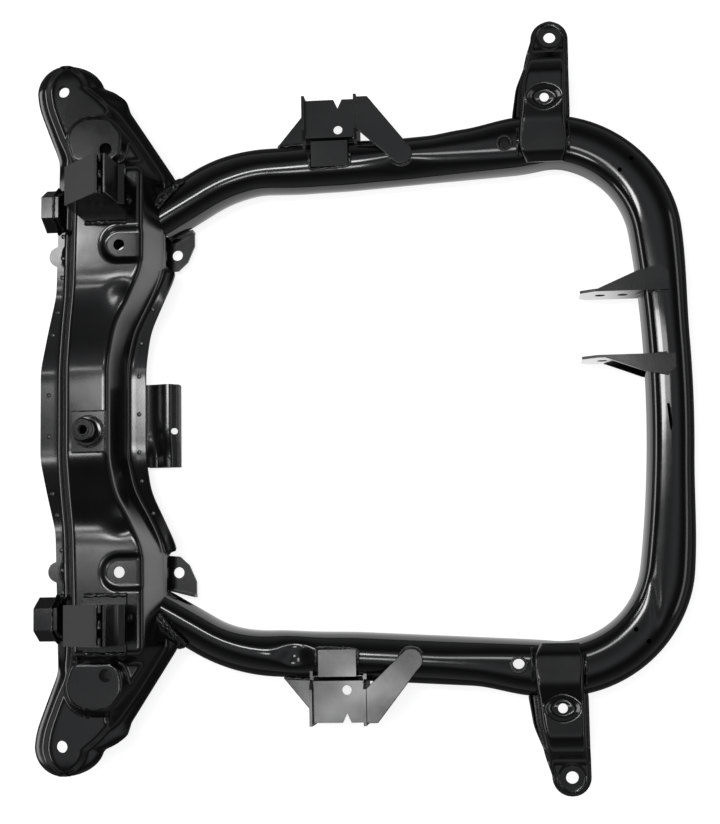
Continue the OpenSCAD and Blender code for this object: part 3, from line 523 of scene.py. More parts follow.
# %% Tube sweep
RING_POINTS, SQUARE_SHARE = 80, 0.55
DENTS = ((5.5, -72, 17, -266, 12), (1.6, 52, 24, 258, 8), (1.4, 306, 5, -214, 22))


def squeeze(x, y):
    out = 7.5 * fade(115, 180, x) * fade(60, 200, abs(y))
    into = 1.5 * fade(-60, 0, x) * (1 - fade(170, 235, x))
    if y > 0:
        out += 3.5 * (1 - fade(-160, -70, x)) - 3 * fade(-20, 50, x) * (1 - fade(80, 120, x))
        return out, into + 4 * fade(-120, -50, x) * (1 - fade(170, 235, x))
    return out, into - 6 * (1 - fade(-165, -80, x))


def sweep(radius):
    round_turn = np.linspace(0, 2 * np.pi, RING_POINTS + 1)[:-1]
    c, s = np.cos(round_turn), np.sin(round_turn)
    rings = []
    for p, turn in zip(path, turns):
        square = 2 + 1.5 * fade(70, 205, p[0])
        ring = radius / (np.abs(c) ** square + np.abs(s) ** square) ** (1 / square)
        ring = radius + (ring - radius) * SQUARE_SHARE
        out, into = squeeze(*p)
        flat = p + np.outer(ring * c + out * np.maximum(c, 0) - into * np.maximum(-c, 0), unit_at(turn))
        dent = 0.0
        for deep, x, wide, y, long in DENTS:
            dent = dent + deep * np.exp(-((flat[:, 0] - x) / wide) ** 2 - ((flat[:, 1] - y) / long) ** 2)
        height = np.minimum(ring * s, radius) - dent * (s > 0)
        rings.append(np.column_stack([flat, TUBE_Z + np.clip(height, -radius, radius)]))
    return np.array(rings)


outer, inner = sweep(TUBE_R), sweep(TUBE_R - WALL)
print("Width of the tube in the front corner:", round(2 * TUBE_R + sum(squeeze(280, 240)), 1), "mm")

# %% [markdown]
# The outer and the inner sweep are joined at both ends. Then the holes are cut: one for each sleeve, drain
# holes in the front corners, and a short slit in the front run.

# %% Tube
SLEEVE, SLEEVE_R, DRAIN_R = np.array([163.0, 278.96]), 9.2, 2.5
slit = [(325.5, -9), (328.5, -9), (331.5, -37), (328.0, -37)]
steps = len(path)
count = steps * RING_POINTS
faces = grid_faces(steps, RING_POINTS, closed=True)
faces += grid_faces(steps, RING_POINTS, count, flip=True, closed=True)
for row in (0, steps - 1):
    for j in range(RING_POINTS):
        a = row * RING_POINTS + j
        b = row * RING_POINTS + (j + 1) % RING_POINTS
        faces.append([a, b, b + count, a + count])
points = np.concatenate([outer.reshape(-1, 3), inner.reshape(-1, 3)])
tube = new_object("bent_tube", points, faces, tube_gloss)
outward(tube)
cut(tube, both_sides([(SLEEVE, SLEEVE_R)]), -5, 60)
drains = []
for out in (-3, 15):
    drains += both_sides([(CORNER + (CORNER_R + out) * unit_at(44), DRAIN_R)])
cut(tube, drains + [slit], 25, 60)
shade(tube)
finish_piece(tube, "tube_loop")

# %% [markdown]
# ## Collars
#
# Where the tube enters the cross member, the pressing is drawn out over it. The collar hugs the outer side of
# the tube from above and ends in a tongue, whose reach is a table along the tube's width. At its root it
# flares into the wall.

# %% Collars round the tube ends
COLLAR_R, COLLAR_SHEET, COLLAR_FLARE, COLLAR_SHRINK = 28.5, 2.4, 8.0, 2.6
LOWEST = [-1000, -1000, 0.2]


def collar_end(around):
    return np.interp(TUBE_R * np.cos(around), [4, 11, 18, 25], [-22, -3, 22, 15])


def collar(side, word):
    around = np.radians(np.linspace(-60, 81, 40))
    out, across = unit_at(ENTRY_TURN), unit_at(ENTRY_TURN + 90)
    layers = []
    for sheet in (COLLAR_SHEET, 0.0):
        rows = []
        for part in np.linspace(0, 1, 19):
            along = -TUCK + part * (collar_end(around) + TUCK)
            flare = COLLAR_FLARE * (1 - fade(-TUCK, 10, along)) ** 2
            radius = COLLAR_R + sheet + flare - COLLAR_SHRINK * part ** 3
            plan = ENTRY + np.outer(along, out) + np.outer(radius * np.cos(around), across)
            rows.append(np.column_stack([plan * [1, side], TUBE_Z + radius * np.sin(around)]))
        layers.append(np.maximum(np.array(rows), LOWEST))
    return close_sheet(f"collar_{word}", *layers, gloss)


for side, word in HANDS:
    wrap = collar(side, word)
    shade(wrap)
    finish_piece(wrap)

# %% [markdown]
# ## Front arms
#
# Each arm is a small box of two pressings. Its tongue lies over the tube and hugs it, its raised middle has
# a soft pocket round a hole, and its tip drops to the front body mount, where a shallow ring is coined round
# the mount hole. The lower pressing starts beside the tube. Both have the top hat section with steeper walls.

# %% Arm tables
ARM, ARM_TIP = np.array([215.0, 395.0]), 20.0
ARM_HOLE, POCKET_DEPTH, COIN_DEPTH = np.array([207.0, 323.0]), 4.5, 1.2
arm_rear = soft([[312, 172], [344, 177], [376, 190], [395, 195]], 4)
arm_rear_top = soft([[252, 185], [270, 177], [309, 176.5], [340, 179.5], [376, 188.5], [395, 195]], 4)
arm_front = soft([[252, 229], [270, 231.5], [300, 233], [312, 235], [395, 235]], 4)
arm_seam = soft([[252, 31], [257, 34], [262, 42], [270, 48], [281, 51], [292, 48.5], [300, 42], [305, 34],
                 [309, 30], [366.5, 30], [379.8, 37]], 2)
arm_depth = soft([[366.5, 8], [379.8, 4]], 4)
arm_top = soft([[252, 44], [258, 49], [266, 55], [281, 58], [300, 62], [320, 70], [352, 70], [364, 65.5],
                [379, 48], [420, 48]], 3)


def arm_height(x, y):
    pocket = (np.abs(x - ARM_HOLE[0]) / 20) ** 1.7 + (np.abs(y - ARM_HOLE[1]) / 14) ** 1.7
    coin = np.hypot(x - ARM[0], y - ARM[1])
    high = arm_top(y) - POCKET_DEPTH * (1 - fade(0.3, 1.05, pocket))
    return high - COIN_DEPTH * (1 - fade(13.0, 15.0, coin))


print("Height of an arm at its hole and at its tip:",
      [round(float(arm_height(*place)), 1) for place in (ARM_HOLE, ARM)])

# %% [markdown]
# One function makes both pressings of an arm, row by row from the tube to the round tip.

# %% Arms
ARM_RIM, ARM_BEND, ARM_LEAN = 2.5, 5, 0.1
UPPER_FROM, LOWER_FROM, ARM_END, ARM_END_SOFT = 257, 312, 415, 12


def arm(side, word, way):
    first, line = (UPPER_FROM, arm_rear_top) if way > 0 else (LOWER_FROM, arm_rear)
    outer, inner = [], []
    for y in stations([first, 395, 410, 414.6], [1.2, 1.2, 0.6]):
        along = min(y, ARM[1])
        part = np.sqrt(max(1 - ((y - along) / ARM_TIP) ** 2, 0.0))
        rear = ARM[0] + (float(line(along)) - ARM[0]) * part
        front = ARM[0] + (float(arm_front(along)) - ARM[0]) * part
        rim = min(ARM_RIM, 0.2 * (front - rear))
        seam = float(arm_seam(y)) - (SEAM_GAP if way < 0 else 0)
        height = max(float(arm_top(y)) - seam if way > 0 else float(arm_depth(y)), SHEET + 0.6)
        tip = np.sqrt(1 - (1 - np.clip((ARM_END - y) / ARM_END_SOFT, 0, 1)) ** 2.5)
        for sheet, lines in ((SHEET, outer), (0.0, inner)):
            profile = top_hat(rear, front, (rim, rim), height - SHEET, ARM_BEND, 26, ARM_LEAN)
            x, share = profile[:, 0], profile[:, 1] / (height - SHEET)
            reach = np.full_like(x, height - SHEET)
            if way > 0:
                reach = arm_height(x, np.full_like(x, y)) - seam - SHEET
            reach = np.maximum(reach, 0.5) * tip
            row = np.stack([x, np.full_like(x, y), seam + way * (sheet + share * reach)], 1)
            lines.append(row * [1, side, 1])
    name = ("upper" if way > 0 else "lower") + "_arm_" + word
    return close_sheet(name, np.array(outer), np.array(inner), gloss)


for side, word in HANDS:
    top = arm(side, word, 1)
    cut(top, [disc(*(ARM * [1, side]), 6.5), disc(*(ARM_HOLE * [1, side]), 5.0)], 20, 90)
    shade(top)
    finish_piece(top, f"arm_upper_{word}")
    under = arm(side, word, -1)
    cut(under, [disc(*(ARM * [1, side]), 11.0), disc(ARM_HOLE[0], (ARM_HOLE[1] + 8) * side, 14.0)], 0, 36.9)
    shade(under)
    finish_piece(under, f"arm_lower_{word}")

# %% [markdown]
# ## Bracket plates
#
# The brackets are cut and folded from plate. Their CAD solids have the right outline, but a laser-cut edge
# that has been dipped in paint is round and catches a thin line of light. A copy of each solid gets its split
# faces joined and then a small bevel. Weighted normals keep the flat faces flat up to the bevel, so that they
# don't shade like pillows.

# %% Plates with painted edges
PLATE_EDGE, NUT_EDGE, SPLIT_GAP = 0.7, 0.5, 0.005
EDGE_ANGLE, PLATE_SMOOTH_TO = 32, 40


def plate(node, width, material, slots=()):
    obj = put(node + "_painted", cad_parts[node].data.copy())
    obj.data.materials.clear()
    obj.data.materials.append(material)
    work = bmesh.new()
    work.from_mesh(obj.data)
    bmesh.ops.remove_doubles(work, verts=work.verts, dist=SPLIT_GAP * MM)
    bmesh.ops.dissolve_limit(work, angle_limit=np.radians(1), verts=work.verts, edges=work.edges)
    work.to_mesh(obj.data)
    work.free()
    if slots:
        cut(obj, slots, 0, 90)
    edge = obj.modifiers.new("painted edge", "BEVEL")
    edge.width, edge.segments, edge.limit_method = width * MM, 3, "ANGLE"
    edge.angle_limit = np.radians(EDGE_ANGLE)
    bake(obj)
    shade(obj, PLATE_SMOOTH_TO)
    flats = obj.modifiers.new("flat faces stay flat", "WEIGHTED_NORMAL")
    flats.keep_sharp = True
    bake(obj)
    return finish_piece(obj, node)


plates = [f"{name}_{word}" for name in ("control_brace", "control_gusset", "tower", "tower_front", "nose")
          for _, word in HANDS]
for node in plates + ["ear_outer", "ear_inner", "boss_plate"]:
    plate(node, PLATE_EDGE, satin)

# %% [markdown]
# The top of each control arm bracket steps up from the tube. A slot cut across the copy makes room for the
# slope, which is a short folded strip. The weld nuts and the sleeves through the tube are rougher.

# %% Control arm brackets and nuts
STEP_ENDS = (-53, -1)
slot = [(-53, 288.5), (-1, 288.5), (-1, 295), (-53, 295)]
fold = ((285, 38), (288, 38), (296, 49.6), (293, 49.6))
for side, word in HANDS:
    plate(f"control_bracket_{word}", PLATE_EDGE, satin, [on_side(slot, side)])
    ends = [[(x, y * side, z) for y, z in fold] for x in STEP_ENDS]
    step = between(f"bracket_step_{word}", *ends, satin)
    finish_piece(step)
for node in [f"{name}_{word}" for name in ("control_nut", "tube_sleeve") for _, word in HANDS]:
    plate(node, NUT_EDGE, weld_paint)

# %% [markdown]
# ## Anti-roll bar ears
#
# Each ear is a plate with a clipped outline and one folded lip. It comes out from under the cross member,
# whose flange is cut away there, and it carries a clamp of the anti-roll bar.

# %% Ears
EAR, EAR_R, EAR_LOW, EAR_HIGH = np.array([-203.0, 176.0]), 6.0, 10.5, 14.5
LIP_LOW, LIP_HIGH = 6.5, 22.0
ear_outline = [(-223, 156.5), (-202, 158.5), (-191.5, 168), (-183.5, 186), (-183.5, 200), (-223, 190)]
lip_outline = [(-222, 190.3), (-184, 200), (-184, 203), (-222, 193.3)]
for side, word in HANDS:
    ear = prism(f"ear_plate_{word}", on_side(ear_outline, side), EAR_LOW, EAR_HIGH, gloss)
    cut(ear, [disc(*(EAR * [1, side]), EAR_R)], 0, 30)
    finish_piece(ear, f"roll_bar_ear_{word}")
    lip = prism(f"ear_lip_{word}", on_side(lip_outline, side), LIP_LOW, LIP_HIGH, gloss)
    finish_piece(lip)

# %% [markdown]
# ## Boss and studs
#
# The boss on the middle of the cross member and the two locating studs were turned on a lathe, so a profile
# spun round an axis describes them best. Each profile is a list of radius and height.

# %% Turned pieces
BOSS, STUD = (-291.0, -24.0), (-243, 224)
boss_profile = [(16, 65.4), (16, 69.8), (15.2, 70.4), (12.8, 70.6), (12.5, 71.5), (12.5, 86.4), (11.6, 88.4),
                (10.7, 89.2), (9.4, 89.2), (8.9, 88.5), (7.3, 88.5), (6.8, 89.3), (5.2, 89.3), (3.5, 87.6),
                (3.5, 72), (0.5, 70)]
stud_profile = [(5.0, 85.2), (5.0, 87.0), (4.7, 87.5), (4.2, 87.7), (4.1, 88.4), (3.6, 89.4), (2.6, 90.0),
                (1.2, 90.2), (0.2, 90.2)]


def spin(name, centre, profile, material, steps):
    turn = np.linspace(0, 2 * np.pi, steps + 1)[:-1]
    points = []
    for r, z in np.array(profile, float):
        points += [(centre[0] + r * np.cos(t), centre[1] + r * np.sin(t), z) for t in turn]
    faces = grid_faces(len(profile), steps, closed=True)
    last = (len(profile) - 1) * steps
    faces += [list(range(steps - 1, -1, -1)), [last + i for i in range(steps)]]
    obj = new_object(name, points, faces, material)
    outward(obj)
    shade(obj, 30)
    return obj


boss = spin("turned_boss", BOSS, boss_profile, gloss, 64)
finish_piece(boss, "centre_boss")
for side, word in HANDS:
    stud = spin(f"stud_{word}_turned", (STUD[0], STUD[1] * side), stud_profile, gloss, 32)
    finish_piece(stud, f"locating_stud_{word}")

# %% [markdown]
# ## Torque bracket
#
# This bracket is a folded plate with a soft saddle: a low ridge near its front edge, a rounded lip, and a
# slump towards one end. A grid of profiles makes the plate, and two webs below it close its ends.

# %% Torque bracket
SADDLE_TOP, RIDGE, SLUMP, PLATE_SHEET = 17.1, 4.5, 7, 3
WEB, WEB_GAP = 3, 1.5


def saddle(y):
    x = np.linspace(-246, -203, 44)
    ridge = RIDGE * np.exp(-((x + 214) / 12) ** 2)
    edge = RIDGE * fade(-212, -203, x)
    slump = SLUMP * fade(-18, -52, y) * fade(-240, -226, x)
    over = np.stack([x, SADDLE_TOP + ridge - edge - slump], 1)
    lip = [[-202.2, over[-1, 1] - 1], [-202, over[-1, 1] - 3], [-202, 2]]
    return np.concatenate([over, lip])


outer = np.array([[(x, y, z) for x, z in saddle(y)] for y in np.linspace(-60, 31, 60)])
inner = np.minimum(outer - [0, 0, PLATE_SHEET], [-205, 1000, 1000])
inner[:, -3:, 2] = np.minimum(outer[:, -3:, 2], inner[:, -4:-3, 2] - [0, 0.4, 0.8])
torque = close_sheet("saddle_plate", outer, inner, satin)
cut(torque, [disc(-206.9, -21, 3.5)], 5, 40)
shade(torque)
finish_piece(torque, "torque_bracket")
for y in (-60, 28):
    profile = saddle(y + WEB / 2)[8:-1] - [0, WEB_GAP]
    outline = np.concatenate([profile[:-1], [[-204, 2], [-237, 2]]])
    ends = [[(x, side, z) for x, z in outline] for side in (y, y + WEB)]
    web = between(f"saddle_web_{abs(y)}", *ends, gloss)
    finish_piece(web)

# %% [markdown]
# ## Welds
#
# A weld bead is a row of small overlapping puddles along a seam. A Geometry Nodes tree makes one from a line:
# it resamples the line every millimetre or so, sweeps a round section along it, and pushes the surface in and
# out with noise. The same tree serves every seam. Its inputs are the size of the bead, the height of its
# ripples and a seed, so that no two sides look alike.

# %% Weld bead tree
BEAD_STEP, LUMP_WIDTH = 0.8, 4.5


def new_tree(name, inputs, output):
    tree = bpy.data.node_groups.new(name, "GeometryNodeTree")
    for socket, kind in inputs.items():
        tree.interface.new_socket(socket, in_out="INPUT", socket_type="NodeSocket" + kind)
    tree.interface.new_socket(output, in_out="OUTPUT", socket_type="NodeSocketGeometry")
    return tree, add(tree, "NodeGroupInput").outputs


def bead_tree():
    inputs = {"Line": "Geometry", "Radius": "Float", "Ripple": "Float", "Seed": "Float", "Paint": "Material"}
    tree, given = new_tree("weld bead", inputs, "Bead")
    line = add(tree, "GeometryNodeMeshToCurve", links={"Mesh": given["Line"]})
    even = add(tree, "GeometryNodeResampleCurve", {"mode": "LENGTH"}, {"Length": BEAD_STEP * MM},
               {"Curve": line.outputs[0]})
    ring = add(tree, "GeometryNodeCurvePrimitiveCircle", values={"Resolution": 12},
               links={"Radius": given["Radius"]})
    body = add(tree, "GeometryNodeCurveToMesh", values={"Fill Caps": True},
               links={"Curve": even.outputs[0], "Profile Curve": ring.outputs[0]})
    place = add(tree, "GeometryNodeInputPosition")
    lumps = add(tree, "ShaderNodeTexNoise", {"noise_dimensions": "4D"},
                {"Scale": 1 / (LUMP_WIDTH * MM), "Detail": 1.0},
                {"Vector": place.outputs[0], "W": given["Seed"]})
    centred = add(tree, "ShaderNodeVectorMath", {"operation": "SUBTRACT"}, {1: (0.5, 0.5, 0.5)},
                  {0: lumps.outputs["Color"]})
    push = add(tree, "ShaderNodeVectorMath", {"operation": "SCALE"},
               links={0: centred.outputs[0], "Scale": given["Ripple"]})
    rough = add(tree, "GeometryNodeSetPosition",
                links={"Geometry": body.outputs[0], "Offset": push.outputs[0]})
    smooth = add(tree, "GeometryNodeSetShadeSmooth", links={0: rough.outputs[0]})
    real = add(tree, "GeometryNodeRealizeInstances", links={0: smooth.outputs[0]})
    done = add(tree, "GeometryNodeSetMaterial",
               links={"Geometry": real.outputs[0], "Material": given["Paint"]})
    add(tree, "NodeGroupOutput", links={"Bead": done.outputs[0]})
    return tree


beads = bead_tree()
print("Weld tree nodes:", len(beads.nodes))

# %% [markdown]
# A modifier runs the tree on a bare object of points and edges. Its inputs are set by the identifiers of the
# sockets before the object is first evaluated, and the result is baked.

# %% Running a tree
def bare_object(name, points, links):
    mesh = bpy.data.meshes.new(name)
    mesh.from_pydata([tuple(np.array(p, float) * MM) for p in points], links, [])
    return put(name, mesh)


def run_nodes(obj, tree, values):
    change = obj.modifiers.new(tree.name, "NODES")
    change.node_group = tree
    for socket in tree.interface.items_tree:
        if socket.in_out == "INPUT" and socket.name in values:
            change[socket.identifier] = values[socket.name]
    bake(obj)


def weld(name, lines, radius, ripple, seed):
    points, links = [], []
    for line in lines:
        first = len(points)
        points += line
        links += [(first + i, first + i + 1) for i in range(len(line) - 1)]
    obj = bare_object(name, points, links)
    run_nodes(obj, beads, {"Radius": radius * MM, "Ripple": ripple * MM, "Seed": seed, "Paint": weld_paint})
    return finish_piece(obj)


print("Sockets of the weld tree:", [socket.name for socket in beads.interface.items_tree])

# %% [markdown]
# The seams follow the solids. Round the tube they are arcs about its middle line, on flat plates they run
# along the plate's edge, and at the round strap ends they make a U.

# %% Seam lines
SEAM_R = 26.0
RUN_START = (197.86, 281.0)


def side_y(x):
    return RUN_START[1] - (RUN_START[0] - x) * np.tan(np.radians(TAPER))


def on_tube(x, y, lift=0.3):
    off = np.clip(y - side_y(x), -24.9, 24.9)
    return TUBE_Z + np.sqrt(SEAM_R ** 2 - off ** 2) + lift


def at_height(z):
    return lambda x, y: z


def plan_line(points, height, count=30):
    points = np.array(points, float)
    ends = np.linspace(0, len(points) - 1, count)
    x = np.interp(ends, range(len(points)), points[:, 0])
    y = np.interp(ends, range(len(points)), points[:, 1])
    return [(a, b, height(a, b)) for a, b in zip(x, y)]


print("The tube's side run lies at y", round(side_y(0), 1), "beside the middle of the frame")

# %% [markdown]
# Most seams are the same on both sides. The rough ones, laid by hand, go round the collars and along the feet
# of the steering brackets. The finer ones hold the tabs, straps, gussets, arms and rear channels.

# %% Seams on both sides
STRAP_X, STRAP_R, FOOT_Z = 51.2, 13, 86.8
entry_turn = np.radians(np.linspace(-20, 84, 60))
rough_seams = []
for back, lift in ((0.5, 2.6), (-4.5, 4.4)):
    plan = ENTRY + np.outer(collar_end(entry_turn) + back, unit_at(ENTRY_TURN))
    plan += np.outer((TUBE_R + lift) * np.cos(entry_turn), unit_at(ENTRY_TURN + 90))
    rough_seams.append(list(zip(*plan.T, TUBE_Z + (TUBE_R + lift) * np.sin(entry_turn))))
rough_seams += [plan_line([(-289, y), (-245, y)], at_height(FOOT_Z)) for y in (260.4, 199.6)]

strap_turn = np.radians(np.linspace(150, 330, 24))
strap = [(STRAP_X + STRAP_R * np.cos(a), side_y(STRAP_X) + STRAP_R * np.sin(a)) for a in strap_turn]
fine_seams = [plan_line([(-250, y - 4), (-250, y + 4)], at_height(175.5), 8) for y in (213, 229, 246)]
fine_seams += [
    plan_line([(-49, 276), (-49, 259.5), (-46, 258), (-8, 260.5), (-5, 263), (-5, 278)], on_tube),
    plan_line(strap, lambda x, y: max(on_tube(x, y), 49.0), 40)]
fine_seams += [plan_line([(x, 262), (x, 302)], lambda a, b: on_tube(a, b, 0.8)) for x in (177.2, 232.2)]
fine_seams += [
    [(-330, 249, 42.5), (-330, 236.5, 64.6), (-330, 211.5, 64.6), (-330, 199, 42.5)],
    plan_line([(x, side_y(x) + 25.6) for x in (-86, -58)], at_height(31.5))]

for name, lines, radius, ripple, seed in (("welds", fine_seams, 1.7, 2.4, 1.0),
                                          ("rough_welds", rough_seams, 2.6, 4.2, 2.0)):
    weld(f"{name}_left", lines, radius, ripple, seed)
    flipped = [[(x, -y, z) for x, y, z in line] for line in lines]
    weld(f"{name}_right", flipped, radius, ripple, seed + 3)

# %% [markdown]
# The last seams are single: round the boss, round its base plate, and up the tube at the two ears of the
# front engine mount. The base plate's outline is read from its solid.

# %% Seams in the middle
BOSS_SEAM_R, BOSS_SEAM_Z, PLATE_SEAM_Z = 16.6, 66.2, 62.6
full_turn = np.radians(np.linspace(0, 360, 60))
middle = [[(BOSS[0] + BOSS_SEAM_R * np.cos(a), BOSS[1] + BOSS_SEAM_R * np.sin(a), BOSS_SEAM_Z)
           for a in full_turn]]
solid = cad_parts["boss_plate"]
corners = np.array([solid.matrix_world @ v.co for v in solid.data.vertices]) / MM
low, high = corners.min(0), corners.max(0)
around = [(low[0], low[1]), (high[0], low[1]), (high[0], high[1]), (low[0], high[1]), (low[0], low[1])]
middle.append(plan_line(around, at_height(PLATE_SEAM_Z), 81))
for y in (111.4, 44.6):
    front = BOW[0] + np.sqrt(BOW_R ** 2 - y * y)
    arc = np.radians(np.linspace(95, 185, 30))
    middle.append([(front + SEAM_R * np.cos(a), y, TUBE_Z + SEAM_R * np.sin(a)) for a in arc])
weld("welds_middle", middle, 1.2, 1.4, 7.0)

# %% [markdown]
# ## Spot welds
#
# The flanges of the two pressings are joined by spot welds: round marks a few millimetres wide where the
# electrodes pressed. Points mark the places, and a second tree puts a small lens at each one.

# %% Spot weld tree
SPOT_R, SPOT_FLAT = 2.6, 0.22


def spot_tree():
    inputs = {"Points": "Geometry", "Radius": "Float", "Paint": "Material"}
    tree, given = new_tree("spot welds", inputs, "Spots")
    ball = add(tree, "GeometryNodeMeshUVSphere", values={"Segments": 20, "Rings": 10},
               links={"Radius": given["Radius"]})
    lens = add(tree, "GeometryNodeTransform", values={"Scale": (1, 1, SPOT_FLAT)},
               links={"Geometry": ball.outputs[0]})
    smooth = add(tree, "GeometryNodeSetShadeSmooth", links={0: lens.outputs[0]})
    dots = add(tree, "GeometryNodeMeshToPoints", links={"Mesh": given["Points"]})
    many = add(tree, "GeometryNodeInstanceOnPoints",
               links={"Points": dots.outputs[0], "Instance": smooth.outputs[0]})
    real = add(tree, "GeometryNodeRealizeInstances", links={0: many.outputs[0]})
    done = add(tree, "GeometryNodeSetMaterial",
               links={"Geometry": real.outputs[0], "Material": given["Paint"]})
    add(tree, "NodeGroupOutput", links={"Spots": done.outputs[0]})
    return tree


def flange_top(y):
    return float(seam_line(y)) + SHEET


spots = [(-347, y, flange_top(y)) for y in (-24, 22)]
spots += [(float(front_line(y)) - 7, y, flange_top(y)) for y in np.arange(-44, 60, 42)]
for line, inset, places in ((rear_line, 6, (88, 112, 150, 172, 196)), (front_line, -8, (76, 112))):
    spots += [(float(line(y)) + inset, y * side, flange_top(y)) for y in places for side, _ in HANDS]
marks = bare_object("spot_welds", spots, [])
run_nodes(marks, spot_tree(), {"Radius": SPOT_R * MM, "Paint": weld_paint})
finish_piece(marks)

# %% [markdown]
# ## Floor, light and camera
#
# The picture is a catalogue photo: a pale floor that comes out white, soft boxes overhead, and a dark room
# round it. Gloss black paint shows hardly anything but reflections, so the look is made by what the paint
# sees. The floor is pale to the camera and lights the frame from below. To the paint it shows a painted
# reflection: a painted pool of light inside the loop, painted shade close round the frame, grey behind and
# far away.

# %% Floor
SPAN = 30000.0
LOOP_MIDDLE, LOOP_HALF, LOOP_SIDE = 0.052, 0.27, 0.275
pale, tree = new_material("pale studio floor")
ray = add(tree, "ShaderNodeLightPath")
place = add(tree, "ShaderNodeTexCoord")
grain = add(tree, "ShaderNodeTexNoise", values={"Scale": 1 / (300 * MM)},
            links={"Vector": place.outputs["Object"]})
tone = add(tree, "ShaderNodeMix", {"data_type": "RGBA"}, {"A": linear("#b2b2b2"), "B": linear("#b8b8b8")},
           {"Factor": grain.outputs["Fac"]})
lit = add(tree, "ShaderNodeBsdfDiffuse", links={"Color": tone.outputs["Result"]})
lift = add(tree, "ShaderNodeEmission", values={"Color": linear("#ffffff"), "Strength": 0.84})
seen = add(tree, "ShaderNodeAddShader", links={0: lit.outputs[0], 1: lift.outputs[0]})
spot = add(tree, "ShaderNodeSeparateXYZ", links={"Vector": place.outputs["Object"]})
across = add(tree, "ShaderNodeMath", {"operation": "MULTIPLY_ADD"},
             {1: 1 / LOOP_HALF, 2: -LOOP_MIDDLE / LOOP_HALF}, {0: spot.outputs["X"]})
beside = add(tree, "ShaderNodeMath", {"operation": "MULTIPLY"}, {1: 1 / LOOP_SIDE}, {0: spot.outputs["Y"]})
powers = [add(tree, "ShaderNodeMath", {"operation": "POWER"}, {1: 6.0}, {0: node.outputs[0]})
          for node in (across, beside)]
ring = add(tree, "ShaderNodeMath", {"operation": "ADD"},
           links={0: powers[0].outputs[0], 1: powers[1].outputs[0]})
reach = add(tree, "ShaderNodeVectorMath", {"operation": "LENGTH"}, links={0: place.outputs["Object"]})
# Painted reflection levels: a painted pool of light inside the loop, painted shade close round the frame,
# grey behind and far away
painted_reflection_levels = []
for source, start, end, near, away in ((ring.outputs[0], 0.1, 0.85, 1.9, 0.08),
                                       (spot.outputs["X"], -0.50, -0.62, 0.0, 0.45),
                                       (reach.outputs["Value"], 0.7, 1.4, 0.0, 0.35)):
    painted_reflection_level = add(tree, "ShaderNodeMapRange", {"interpolation_type": "SMOOTHSTEP"},
               {"From Min": start, "From Max": end, "To Min": near, "To Max": away}, {"Value": source})
    painted_reflection_levels.append(painted_reflection_level.outputs[0])
inside, behind, far = painted_reflection_levels
outside = add(tree, "ShaderNodeMath", {"operation": "MAXIMUM"}, links={0: behind, 1: far})
dim = add(tree, "ShaderNodeMath", {"operation": "ADD"}, links={0: inside, 1: outside.outputs[0]})
# Glossy rays see this painted reflection instead of the lit floor
painted_floor_reflection = add(tree, "ShaderNodeEmission", values={"Color": linear("#ffffff")},
                links={"Strength": dim.outputs[0]})
choose = add(tree, "ShaderNodeMixShader",
             links={0: ray.outputs["Is Glossy Ray"], 1: seen.outputs[0], 2: painted_floor_reflection.outputs[0]})
add(tree, "ShaderNodeOutputMaterial", links={"Surface": choose.outputs[0]})
square = [(x * SPAN, y * SPAN, 0) for x, y in ((-1, -1), (1, -1), (1, 1), (-1, 1))]
floor = new_object("floor", square, [(0, 1, 2, 3)], pale)
print("Floor is", 2 * SPAN * MM, "m wide")

# %% [markdown]
# The room is dark overhead, except for a soft patch round the zenith, and paler towards the horizon, where
# the side walls of the frame find their light. The camera itself sees white past the floor.

# %% Room
levels = ((0.0, 0.45), (0.3, 0.32), (0.55, 0.15), (0.80, 0.05), (0.88, 0.12), (0.93, 0.45), (0.96, 0.68),
          (0.985, 0.55), (1.0, 0.32))
world = bpy.data.worlds.new("dark studio")
bpy.context.scene.world = world
world.use_nodes = True
tree = world.node_tree
tree.nodes.clear()
way = add(tree, "ShaderNodeTexCoord")
parts = add(tree, "ShaderNodeSeparateXYZ", links={"Vector": way.outputs["Generated"]})
level = add(tree, "ShaderNodeValToRGB", links={"Fac": parts.outputs["Z"]})
stops = level.color_ramp.elements
for position, value in levels:
    stop = stops[0] if position == 0.0 else stops[-1] if position == 1.0 else stops.new(position)
    stop.color = (value, value, value, 1.0)
room = add(tree, "ShaderNodeBackground", values={"Color": linear("#f2f4f8")},
           links={"Strength": level.outputs["Color"]})
white = add(tree, "ShaderNodeBackground", values={"Color": linear("#ffffff")})
ray = add(tree, "ShaderNodeLightPath")
choose = add(tree, "ShaderNodeMixShader",
             links={0: ray.outputs["Is Camera Ray"], 1: room.outputs[0], 2: white.outputs[0]})
add(tree, "ShaderNodeOutputWorld", links={"Surface": choose.outputs[0]})
print("Room levels from the horizon to the zenith:", [value for _, value in levels])

# %% [markdown]
# Each soft box is there for one reflection. A long narrow one draws the thin line along the tube, and a
# dimmer one lets that line fade to the front. A square one lights the plates on the right side. Three small
# ones give the sheens on the cross member. Two low windows light the walls that face rear and front.

# %% Soft boxes
CEILING, SILL = 2.6, 1.5


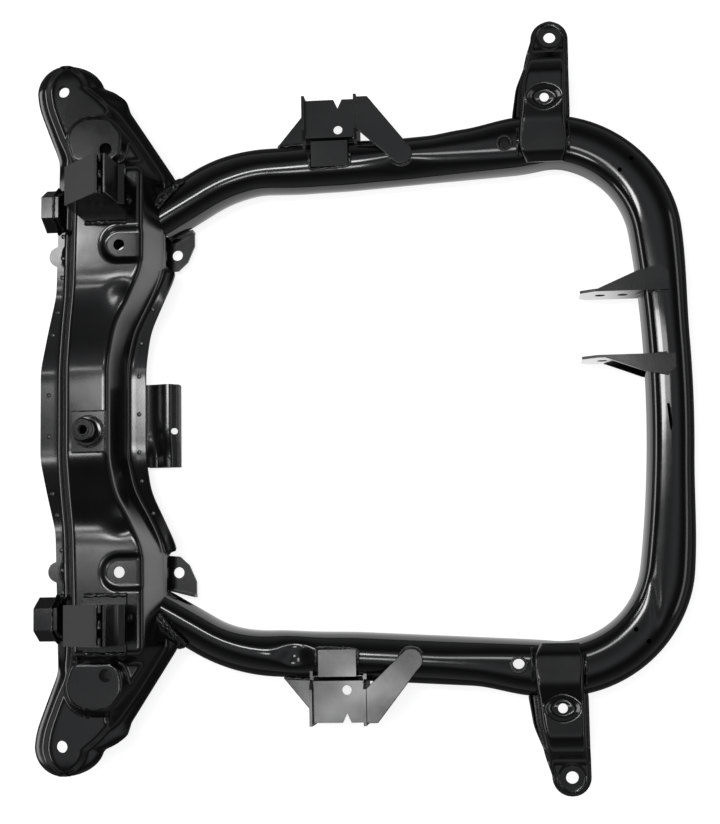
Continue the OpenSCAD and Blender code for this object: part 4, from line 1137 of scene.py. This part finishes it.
def softbox(name, place, size_x, size_y, power, aim=None):
    lamp = bpy.data.lights.new(name, "AREA")
    lamp.shape = "RECTANGLE"
    lamp.size, lamp.size_y, lamp.energy = size_x, size_y, power
    obj = put(name, lamp)
    obj.location = place
    below = (place[0], place[1], 0)
    obj.rotation_euler = (Vector(aim or below) - Vector(place)).to_track_quat("-Z", "Y").to_euler()
    return obj


boxes = [
    softbox("strip over the loop", (-0.5, 0.36, CEILING), 0.7, 0.22, 11.1),
    softbox("dim end of the strip", (0.15, 0.36, CEILING), 0.6, 0.22, 3.3),
    softbox("box over the right side", (-0.25, -0.45, CEILING), 0.34, 0.26, 3.2),
    softbox("small box behind the middle", (-0.98, -0.04, CEILING), 0.30, 0.08, 0.9),
    softbox("small box over the middle", (-0.99, 0.42, CEILING), 0.32, 0.10, 0.8),
    softbox("window behind", (-2.3, 0.0, SILL), 2.6, 0.5, 24, (-0.28, 0.0, 0.06)),
    softbox("window in front", (2.4, 0.0, SILL), 2.4, 0.5, 8, (-0.1, 0.0, 0.06)),
    softbox("box behind the left side", (-1.12, 0.80, CEILING), 0.40, 0.22, 3.7)]
print("Soft boxes:", len(boxes), "with", round(sum(box.data.energy for box in boxes), 1), "W")

# %% [markdown]
# The camera hangs almost straight over the frame, a little to the front and right of its middle. Its place
# and turn were found from the mount holes, whose spacing and height are known.

# %% Camera
CAMERA_PLACE = (163.3, -206.5, 1780.4)
CAMERA_TURN = (("Z", 0.02791), ("Y", -0.09257), ("X", -0.11346))
camera_data = bpy.data.cameras.new("photo camera")
camera_data.sensor_width = 36.0
camera_data.lens = 71.49
camera = put("photo camera", camera_data)
turn_z, turn_y, turn_x = [Matrix.Rotation(angle, 3, axis) for axis, angle in CAMERA_TURN]
turn = (turn_z @ turn_y @ turn_x).transposed()
camera.matrix_world = Matrix.Translation(Vector(CAMERA_PLACE) * MM) @ turn.to_4x4()
bpy.context.scene.camera = camera
bpy.context.scene.view_settings.view_transform = "Standard"
print("Camera height in m:", round(camera.matrix_world.translation.z, 3))
